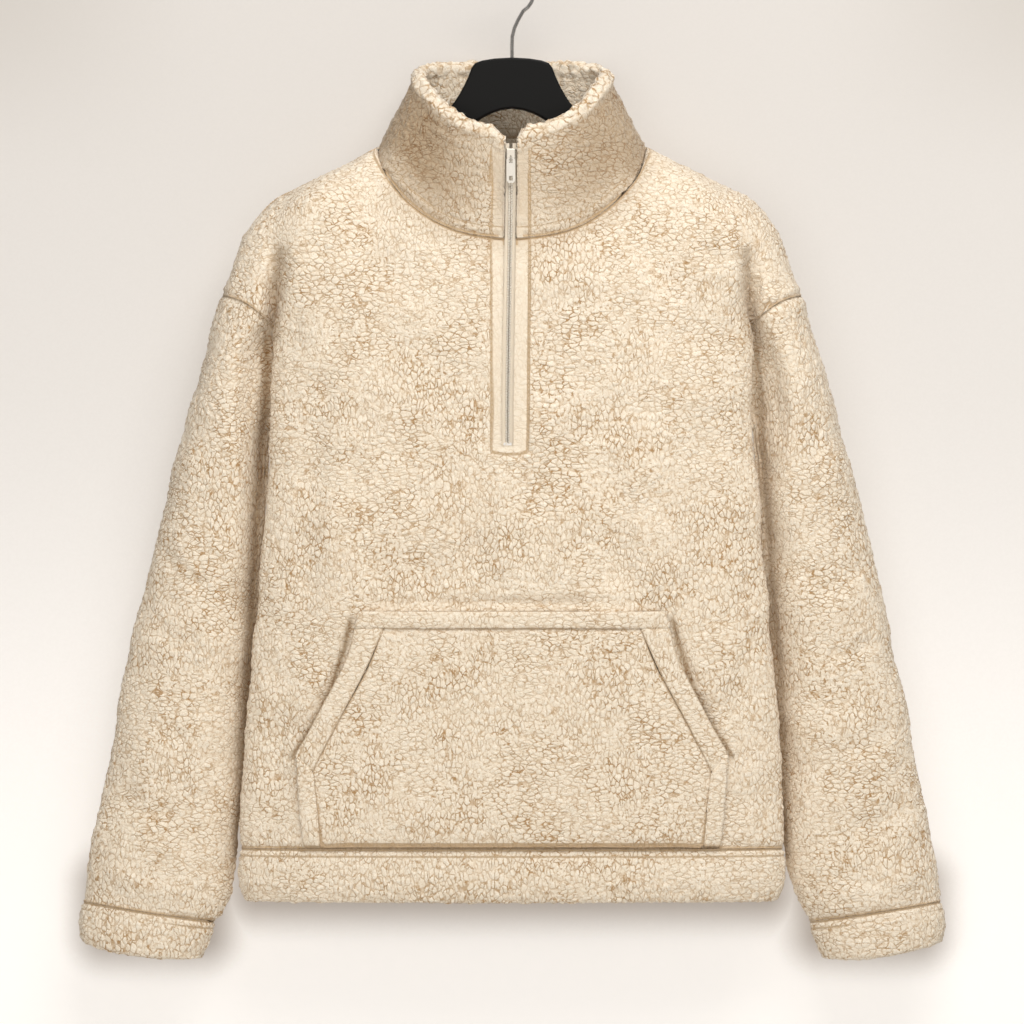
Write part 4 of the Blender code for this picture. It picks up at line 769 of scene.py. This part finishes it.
clothPieces = {}
pressedLines = {}
for nodeName, pieceName, kind, facing, creaseKinds, heightShare in clothTable:
    mesh = clothPiece(nodeName, pieceName, kind, facing)
    cover = outerMask(mesh)
    normals = pointNormals(mesh, cover)
    fromBorder = borderDistance(mesh, cover)
    places = placesOf(mesh)
    flat = places[:, [0, 2]] / mm
    besideZip = np.zeros(len(places))
    bare = np.zeros(len(places))
    if pieceName in ("frontPanel", "standCollar"):
        across = np.abs(flat[:, 0] - placket["middle"])
        besideZip = (places[:, 1] < -0.02) * (across < placket["half"] + 3.0)
    if creaseKinds:
        places = applyCreases(mesh, places, cover, fromBorder, creaseKinds)
    roll = fleece["seamRoll"] * (1.0 - ease(fromBorder, 0.0, fleece["seamReach"])) * (cover > 0)
    if kind == "patch":
        # no turned-in edge: each side runs on until it meets its neighbour
        roll *= fleece["patchRoll"]
        places[:, [0, 2]] += normals[:, [0, 2]] * fleece["patchSpread"]
    pressStart, pressEnd = (3.0 * mm, 5.4 * mm) if kind == "patch" else (1.0 * mm, 4.0 * mm)
    press = (1.0 - ease(fromBorder, pressStart, pressEnd)) * fleece["seamPress"]
    lowPile = kind == "patch" and pieceName != "pocketPanel"
    shorn = np.full(len(places), fleece["patchShorn"] if lowPile else 0.0)
    if besideZip.any():
        shorn, bare, nearSlit = slitPile(pieceName, flat, across, besideZip)
        roll *= 1.0 - nearSlit
        press *= 1.0 - nearSlit
        roll += fleece["placketDrop"] * shorn * (cover > 0)
        for line, strength in sewing.values():
            gap = lineDistance(flat, line)[0]
            press = np.maximum(press, besideZip * strength * (1.0 - ease(gap, 0.6, 3.2)))
    if pieceName in topstitch:
        distance, half, strength = topstitch[pieceName]
        offLine = np.abs(fromBorder - distance)
        press = np.maximum(press, strength * (1.0 - ease(offLine, half * 0.3, half * 1.5)))
    plush = np.zeros(len(places))
    paintedShade = np.zeros(len(places))
    # painted shade along each listed line, fading with distance from it
    for line, reach, strength in paintedShadeLines.get(pieceName, []):
        gap, where = lineDistance(flat, line)
        paintedShade = np.maximum(paintedShade, strength * ease(where, 0.0, 0.1) * np.exp(-(gap / reach) ** 2))
    if pieceName == "standCollar":
        plush, paintedShade, moreRoll, drop = collarPile(places, normals, flat, fromBorder, across, besideZip)
        roll += moreRoll
        places[:, 2] -= drop
    places = places - normals * roll[:, None]
    setPlaces(mesh, places)
    setAttribute(mesh, "cover", (cover == 1.0) * (1.0 - bare))
    setAttribute(mesh, "press", press * (cover > 0))
    setAttribute(mesh, "shorn", shorn)
    setAttribute(mesh, "plush", plush * (cover > 0))
    setAttribute(mesh, "paintedShade", paintedShade)
    lift = mesh.attributes.new("lift", "FLOAT_VECTOR", "POINT")
    lift.data.foreach_set("vector", np.ascontiguousarray(normals, dtype=np.float32).ravel())
    mesh.materials.clear()
    mesh.materials.append(sherpa)
    mesh.materials.append(backing)
    holder = bpy.data.objects.new(pieceName + "Base", mesh)
    scene.collection.objects.link(holder)
    modifier = holder.modifiers.new("pile", "NODES")
    modifier.node_group = pileNodes
    setInputs(modifier, {"Pile Height": fleece["height"] * heightShare,
                         "Drape": fleece["drape"] * (1.0 if creaseKinds else fleece["bandDrape"])})
    piece = applied(holder, pieceName)
    piece.data.attributes.remove(piece.data.attributes["lift"])
    clothPieces[nodeName] = piece
    if pieceName in topstitch:
        covered = np.where(cover > 0, fromBorder, -1.0)
        pressedLines[pieceName] = levelLines(piece.data, covered, topstitch[pieceName][0])
    triangles = sum(len(polygon.vertices) - 2 for polygon in piece.data.polygons)
    print("cloth:", pieceName, triangles, "triangles")


stitchSizes = {"length": 2.9 * mm, "thickness": 0.34 * mm, "pitch": 3.9 * mm}


def stitchTree():
    tree = bpy.data.node_groups.new("stitchTree", "GeometryNodeTree")
    face = tree.interface
    face.new_socket("Geometry", in_out="INPUT", socket_type="NodeSocketGeometry")
    for name, value in (("Stitch Length", stitchSizes["length"]),
                        ("Thread Thickness", stitchSizes["thickness"]), ("Pitch", stitchSizes["pitch"])):
        face.new_socket(name, in_out="INPUT", socket_type="NodeSocketFloat").default_value = value
    face.new_socket("Geometry", in_out="OUTPUT", socket_type="NodeSocketGeometry")
    enter = addNode(tree, "NodeGroupInput")
    leave = addNode(tree, "NodeGroupOutput")
    points = addNode(tree, "GeometryNodeCurveToPoints", {"Curve": enter.outputs["Geometry"],
                                                         "Length": enter.outputs["Pitch"]}, mode="LENGTH")
    ball = addNode(tree, "GeometryNodeMeshUVSphere", {"Segments": 6, "Rings": 4, "Radius": 0.5})
    size = addNode(tree, "ShaderNodeCombineXYZ", {"X": enter.outputs["Thread Thickness"],
                                                  "Y": enter.outputs["Thread Thickness"],
                                                  "Z": enter.outputs["Stitch Length"]})
    placed = addNode(tree, "GeometryNodeInstanceOnPoints",
                     {"Points": points.outputs["Points"], "Instance": ball.outputs["Mesh"],
                      "Rotation": points.outputs["Rotation"], "Scale": size.outputs[0]})
    real = addNode(tree, "GeometryNodeRealizeInstances", {"Geometry": placed.outputs["Instances"]})
    smooth = addNode(tree, "GeometryNodeSetShadeSmooth", {"Geometry": real.outputs["Geometry"]})
    paint = addNode(tree, "GeometryNodeSetMaterial",
                    {"Geometry": smooth.outputs["Geometry"], "Material": thread})
    tree.links.new(paint.outputs["Geometry"], leave.inputs["Geometry"])
    return tree


def surfaceLine(surfaces, line, steps, lift):
    # a line drawn on the front view, laid on the nearest cloth
    line = np.asarray(line, float) * mm
    lengths = np.concatenate([[0.0], np.cumsum(np.linalg.norm(np.diff(line, axis=0), axis=1))])
    found = []
    for share in np.linspace(0.0, lengths[-1], steps):
        x = np.interp(share, lengths, line[:, 0])
        z = np.interp(share, lengths, line[:, 1])
        hits = [surface.ray_cast(Vector((x, -0.3, z)), Vector((0, 1, 0)))[0] for surface in surfaces]
        hits = [hit for hit in hits if hit is not None]
        if hits:
            found.append(min(hits, key=lambda hit: hit.y) - Vector((0, lift, 0)))
    return found


def lineCurve(name, lines):
    curve = bpy.data.curves.new(name, "CURVE")
    curve.dimensions = "3D"
    for line in lines:
        spline = curve.splines.new("POLY")
        spline.points.add(len(line) - 1)
        for point, place in zip(spline.points, line):
            point.co = (*place, 1.0)
    holder = bpy.data.objects.new(name + "Path", curve)
    scene.collection.objects.link(holder)
    return holder


zipSizes = {"pitch": 1.45 * mm, "toothWidth": 2.5 * mm, "toothHeight": 1.15 * mm, "toothDepth": 1.5 * mm,
            "stopWidth": 7.6 * mm, "stopLength": 6.5 * mm,
            "tapeForward": 0.7 * mm, "tapeUnder": 2.4 * mm}


def rowsOf(node):
    # the centre and width of a zip strip at each of its heights
    rows = {}
    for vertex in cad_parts[node].data.vertices:
        rows.setdefault(round(vertex.co.z, 4), []).append(vertex.co)
    table = []
    for z in sorted(rows, reverse=True):
        xs = [p.x for p in rows[z]]
        ys = [p.y for p in rows[z]]
        table.append((z, min(xs), max(xs), min(ys), max(ys)))
    return table


def coilTree():
    tree = bpy.data.node_groups.new("zipCoilTree", "GeometryNodeTree")
    face = tree.interface
    face.new_socket("Geometry", in_out="INPUT", socket_type="NodeSocketGeometry")
    for name, value in (("Pitch", zipSizes["pitch"]), ("Tooth Width", zipSizes["toothWidth"]),
                        ("Tooth Height", zipSizes["toothHeight"]), ("Tooth Depth", zipSizes["toothDepth"]),
                        ("Tooth Slant", 0.22)):
        face.new_socket(name, in_out="INPUT", socket_type="NodeSocketFloat").default_value = value
    face.new_socket("Geometry", in_out="OUTPUT", socket_type="NodeSocketGeometry")
    enter = addNode(tree, "NodeGroupInput")
    leave = addNode(tree, "NodeGroupOutput")
    both = []
    for side in (-1.0, 1.0):
        points = addNode(tree, "GeometryNodeCurveToPoints", {"Curve": enter.outputs["Geometry"],
                                                             "Length": enter.outputs["Pitch"]}, mode="LENGTH")
        ball = addNode(tree, "GeometryNodeMeshUVSphere", {"Segments": 8, "Rings": 5, "Radius": 0.5})
        size = addNode(tree, "ShaderNodeCombineXYZ", {"X": enter.outputs["Tooth Width"],
                                                      "Y": enter.outputs["Tooth Depth"],
                                                      "Z": enter.outputs["Tooth Height"]})
        turn = addNode(tree, "ShaderNodeCombineXYZ",
                       {"Y": maths(tree, "MULTIPLY", enter.outputs["Tooth Slant"], side)})
        placed = addNode(tree, "GeometryNodeInstanceOnPoints",
                         {"Points": points.outputs["Points"], "Instance": ball.outputs["Mesh"],
                          "Rotation": turn.outputs[0], "Scale": size.outputs[0]})
        shift = addNode(tree, "ShaderNodeCombineXYZ",
                        {"X": maths(tree, "MULTIPLY", enter.outputs["Tooth Width"], 0.47 * side),
                         "Z": maths(tree, "MULTIPLY", enter.outputs["Pitch"], 0.25 * side)})
        moved = addNode(tree, "GeometryNodeTranslateInstances", {"Instances": placed.outputs["Instances"],
                                                                 "Translation": shift.outputs[0],
                                                                 "Local Space": False})
        both.append(moved.outputs["Instances"])
    join = addNode(tree, "GeometryNodeJoinGeometry")
    for item in both:
        tree.links.new(item, join.inputs["Geometry"])
    real = addNode(tree, "GeometryNodeRealizeInstances", {"Geometry": join.outputs["Geometry"]})
    smooth = addNode(tree, "GeometryNodeSetShadeSmooth", {"Geometry": real.outputs["Geometry"]})
    paint = addNode(tree, "GeometryNodeSetMaterial",
                    {"Geometry": smooth.outputs["Geometry"], "Material": coilNylon})
    tree.links.new(paint.outputs["Geometry"], leave.inputs["Geometry"])
    return tree


def buildCoil():
    rows = rowsOf("zip_chain")
    line = [((low + high) / 2, front + 0.9 * mm, z) for z, low, high, front, back in rows]
    holder = lineCurve("zipCoil", [line])
    modifier = holder.modifiers.new("coil", "NODES")
    modifier.node_group = coilTree()
    setInputs(modifier, {"Pitch": zipSizes["pitch"]})
    coil = applied(holder, "zipCoil")
    # the bottom stop closes the gap between the tapes
    x, y, z = line[-1]
    work = bmesh.new()
    work.from_mesh(coil.data)
    stop = bmesh.ops.create_cube(work, size=1.0)["verts"]
    bmesh.ops.scale(work, verts=stop, vec=(zipSizes["stopWidth"], 1.6 * mm, zipSizes["stopLength"]))
    bmesh.ops.translate(work, verts=stop, vec=(x, y + 0.5 * mm, z - zipSizes["stopLength"] * 0.35))
    edges = {edge for vertex in stop for edge in vertex.link_edges}
    bmesh.ops.bevel(work, geom=list(edges), offset=0.5 * mm, segments=2, affect="EDGES")
    work.to_mesh(coil.data)
    work.free()
    return coil


chainRows = rowsOf("zip_chain")
middleHeights = [-z for z, low, high, front, back in chainRows]
middlePlaces = [(low + high) / 2 for z, low, high, front, back in chainRows]


def buildTape(node, name):
    work = bmesh.new()
    work.from_mesh(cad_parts[node].data)
    bmesh.ops.remove_doubles(work, verts=work.verts, dist=1e-6)
    bmesh.ops.join_triangles(work, faces=work.faces, angle_face_threshold=0.6, angle_shape_threshold=math.pi)
    for attempt in range(4):
        longEdges = [edge for edge in work.edges if edge.calc_length() > 3.2 * mm]
        bmesh.ops.subdivide_edges(work, edges=longEdges, cuts=1, use_grid_fill=True)
    # the woven edge runs on under the coil, and in the slit it lies level with the cloth
    for vertex in work.verts:
        middle = np.interp(-vertex.co.z, middleHeights, middlePlaces)
        gap = abs(vertex.co.x - middle)
        vertex.co.y -= zipSizes["tapeForward"] * float(1.0 - ease(gap, 4.5 * mm, 8.0 * mm))
        inward = 1 if vertex.co.x > middle else -1
        vertex.co.x -= inward * zipSizes["tapeUnder"] * float(1.0 - ease(gap, 2.0 * mm, 4.6 * mm))
    mesh = bpy.data.meshes.new(name)
    work.to_mesh(mesh)
    work.free()
    mesh.shade_smooth()
    mesh.set_sharp_from_angle(angle=math.radians(50))
    mesh.materials.append(tapeCloth)
    piece = bpy.data.objects.new(name, mesh)
    scene.collection.objects.link(piece)
    return piece


zipCoil = buildCoil()
zipTapes = [buildTape("zip_tape_left", "zipTapeLeft"), buildTape("zip_tape_right", "zipTapeRight")]
print("zip:", len(zipCoil.data.polygons), "faces of coil")

sewnOn = [clothPieces["body_front"], clothPieces["collar"]]
surfaces = [BVHTree.FromPolygons([vertex.co for vertex in piece.data.vertices],
                                 [tuple(polygon.vertices) for polygon in piece.data.polygons])
            for piece in sewnOn]
stitchLines = [surfaceLine(surfaces, line, 90, 0.1 * mm) for line, strength in sewing.values()]
for chains in pressedLines.values():
    stitchLines += chains
stitchHolder = lineCurve("stitches", [line for line in stitchLines if len(line) > 2])
stitchModifier = stitchHolder.modifiers.new("stitches", "NODES")
stitchModifier.node_group = stitchTree()
setInputs(stitchModifier, {"Pitch": stitchSizes["pitch"]})
stitches = applied(stitchHolder, "stitches")
print("stitches:", len(stitches.data.polygons), "faces")


def paintNode(node, material):
    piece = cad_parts[node]
    piece.data.materials.clear()
    piece.data.materials.append(material)


paintNode("hanger_body", hangerPlastic)
paintNode("hanger_hook", hookSteel)
paintNode("zip_slider", sliderMetal)
paintNode("zip_pull_tab", pullFinish)

# node: cut width and length in metres, how it is held, what it hangs from or lies on
cuts = {
    "body_back": ((0.62, 0.66), "hung", ["hanger_body"], 0.34),
    "body_front": ((0.62, 0.65), "hung", ["hanger_body"], 0.33),
    "sleeve_left": ((0.40, 0.57), "hung", ["frontPanel", "backPanel"], 0.16),
    "sleeve_right": ((0.40, 0.57), "hung", ["frontPanel", "backPanel"], 0.16),
    "waistband": ((1.04, 0.058), "hung", ["frontPanel", "backPanel"], None),
    "cuff_left": ((0.27, 0.046), "hung", ["sleeveLeft"], None),
    "cuff_right": ((0.27, 0.046), "hung", ["sleeveRight"], None),
    "collar": ((0.47, 0.105), "hung", ["frontPanel", "backPanel"], None),
    "pocket_panel": ((0.36, 0.20), "laid", ["frontPanel"], 0.064),
    "pocket_top_hem": ((0.285, 0.018), "laid", ["frontPanel"], None),
    "pocket_opening_left": ((0.14, 0.024), "laid", ["frontPanel"], None),
    "pocket_opening_right": ((0.14, 0.024), "laid", ["frontPanel"], None),
    "pocket_side_left": ((0.083, 0.018), "laid", ["frontPanel"], None),
    "pocket_side_right": ((0.083, 0.018), "laid", ["frontPanel"], None),
}
for node, piece in clothPieces.items():
    flat, held, rests, area = cuts[node]
    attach(piece, "garment")
    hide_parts(node)
for piece, node in zip(zipTapes, ("zip_tape_left", "zip_tape_right")):
    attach(piece, "garment")
    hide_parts(node)
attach(zipCoil, "garment")
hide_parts("zip_chain")
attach(stitches, "garment")
print("pieces declared:", len(clothPieces) + 4)

stageSizes = {
    "wallBehind": 0.058, "wallHalf": 2.6, "floor": -1.75,
    # low and high: the wall's colour at the bottom and at the top, where it is darker as painted shade;
    # corner: painted shade in the upper corners, also used for the wall's grain; glowLow and glowHigh:
    # painted light, the wall's own glow
    "low": (0.95, 0.92, 0.89), "high": (0.79, 0.755, 0.72), "corner": (0.60, 0.56, 0.51),
    "shade": (0.36, 0.31, 0.27), "nearShade": 0.85,   # painted shadow close below the hem and the cuffs
    "hemShade": ((0.0, -0.79), (0.232, 0.050), 0.048),
    "cuffShade": ((0.328, -0.855), (0.044, 0.022), 0.050),
    "diffuse": 0.64, "glowLow": 0.54, "glowHigh": 0.30,
}


def softBox(tree, parts, middle, half, reach):
    # 1 inside a box on the wall, mirrored left and right, fading out over the reach; the mask of a painted
    # shadow
    gaps = []
    for axis, centre, size in zip(("X", "Z"), middle, half):
        along = parts.outputs[axis]
        along = maths(tree, "ABSOLUTE", along) if axis == "X" else along
        off = maths(tree, "ABSOLUTE", maths(tree, "SUBTRACT", along, centre))
        gaps.append(maths(tree, "MAXIMUM", maths(tree, "SUBTRACT", off, size), 0.0))
    squares = [maths(tree, "MULTIPLY", gap, gap) for gap in gaps]
    far = maths(tree, "SQRT", maths(tree, "ADD", *squares))
    return easedRange(tree, far, 0.0, reach, 1.0, 0.0)


def wallMaterial():
    # a pale wall with painted shade, darker towards the top and in the upper corners; part of its light is
    # painted light, a glow of its own, so shadows on it stay soft
    material, tree, shader = newMaterial("wallPaint", 0.95)
    place = addNode(tree, "ShaderNodeTexCoord").outputs["Object"]
    parts = addNode(tree, "ShaderNodeSeparateXYZ", {"Vector": place})
    # painted shade: colour and glow fall towards the top, and the upper corners darken
    up = easedRange(tree, parts.outputs["Z"], -0.75, 0.02)
    glow = easedRange(tree, parts.outputs["Z"], -0.95, -0.35, stageSizes["glowLow"], stageSizes["glowHigh"])
    across = easedRange(tree, maths(tree, "ABSOLUTE", parts.outputs["X"]), 0.25, 0.50)
    corner = maths(tree, "MULTIPLY", easedRange(tree, parts.outputs["Z"], -0.20, 0.02), across)
    grainNode = addNode(tree, "ShaderNodeTexNoise", {"Vector": place, "Scale": 420.0, "Detail": 2.0})
    grain = grainNode.outputs["Fac"]
    colour = mixColour(tree, up, stageSizes["low"], stageSizes["high"])
    colour = mixColour(tree, maths(tree, "MULTIPLY", corner, 0.55), colour, stageSizes["corner"])
    colour = mixColour(tree, easedRange(tree, grain, 0.3, 0.7, 0.0, 0.04), colour, stageSizes["corner"])
    # painted shadow on the wall below the hem and beside the cuffs
    under = softBox(tree, parts, *stageSizes["hemShade"])
    beside = softBox(tree, parts, *stageSizes["cuffShade"])
    paintedShadowShare = maths(tree, "MULTIPLY", maths(tree, "MAXIMUM", under, beside), stageSizes["nearShade"])
    colour = mixColour(tree, paintedShadowShare, colour, stageSizes["shade"])
    shaded = mixColour(tree, 1.0 - stageSizes["diffuse"], colour, (0.0, 0.0, 0.0))
    tree.links.new(shaded, shader.inputs["Base Color"])
    tree.links.new(colour, shader.inputs["Emission Color"])
    tree.links.new(glow, shader.inputs["Emission Strength"])
    shader.inputs["Specular IOR Level"].default_value = 0.0
    return material, tree, shader


def flatSheet(name, corners, material):
    mesh = bpy.data.meshes.new(name)
    mesh.from_pydata(corners, [], [(0, 1, 2, 3)])
    mesh.materials.append(material)
    sheetObject = bpy.data.objects.new(name, mesh)
    scene.collection.objects.link(sheetObject)
    return sheetObject


wallPaint, wallTree, wallShader = wallMaterial()
clear = addNode(wallTree, "ShaderNodeBsdfTransparent")
backSide = addNode(wallTree, "ShaderNodeNewGeometry").outputs["Backfacing"]
swap = addNode(wallTree, "ShaderNodeMixShader", {"Fac": backSide})
wallTree.links.new(wallShader.outputs["BSDF"], swap.inputs[1])
wallTree.links.new(clear.outputs["BSDF"], swap.inputs[2])
wallTree.links.new(swap.outputs["Shader"], wallTree.nodes["Material Output"].inputs["Surface"])
half = stageSizes["wallHalf"]
y = stageSizes["wallBehind"]
wall = flatSheet("wall", [(-half, y, stageSizes["floor"]), (half, y, stageSizes["floor"]), (half, y, 1.6),
                          (-half, y, 1.6)], wallPaint)
wall.visible_shadow = False
wall.visible_diffuse = False
floorPaint, _, floorShader = newMaterial("floorPaint", 0.9)
floorShader.inputs["Base Color"].default_value = (0.80, 0.79, 0.77, 1.0)
floor = flatSheet("floor", [(-6, -6, stageSizes["floor"]), (6, -6, stageSizes["floor"]),
                            (6, 6, stageSizes["floor"]), (-6, 6, stageSizes["floor"])], floorPaint)


def areaLight(name, place, target, size, power, colour):
    light = bpy.data.lights.new(name, "AREA")
    light.shape = "RECTANGLE"
    light.size, light.size_y = size
    light.energy = power
    light.color = colour
    holder = bpy.data.objects.new(name, light)
    holder.location = place
    holder.rotation_euler = (Vector(target) - Vector(place)).to_track_quat("-Z", "Y").to_euler()
    scene.collection.objects.link(holder)


# place, what it points at, size, power and colour
lights = {
    "keyAbove": ((0.5, -1.45, 1.45), (0, 0, -0.40), (1.7, 1.2), 40, (1.0, 0.985, 0.96)),
    "fillFront": ((-0.5, -3.3, -0.3), (0, 0, -0.5), (3.0, 2.4), 36, (1.0, 0.965, 0.92)),
    "fillBehind": ((0.5, 2.6, 0.9), (0, 0, -0.45), (2.2, 1.8), 40, (1.0, 0.985, 0.96)),
}
room = {"colour": (1.0, 0.95, 0.885, 1.0), "strength": 0.36}
for name, settings in lights.items():
    areaLight(name, *settings)
world = bpy.data.worlds.new("softRoom")
scene.world = world
world.use_nodes = True
world.node_tree.nodes["Background"].inputs["Color"].default_value = room["colour"]
world.node_tree.nodes["Background"].inputs["Strength"].default_value = room["strength"]
scene.view_settings.view_transform = "Standard"

cameraData = bpy.data.cameras.new("photoCamera")
cameraData.sensor_width = 36.0
cameraData.lens = 36.0 * (camera["distance"] + camera["plane"]) / camera["across"]
cameraData.clip_end = 60.0
cameraObject = bpy.data.objects.new("photoCamera", cameraData)
cameraObject.location = (0.0, -camera["distance"], camera["height"])
cameraObject.rotation_euler = (math.pi / 2, 0.0, 0.0)
scene.collection.objects.link(cameraObject)
scene.camera = cameraObject
print("stage, light and camera set")
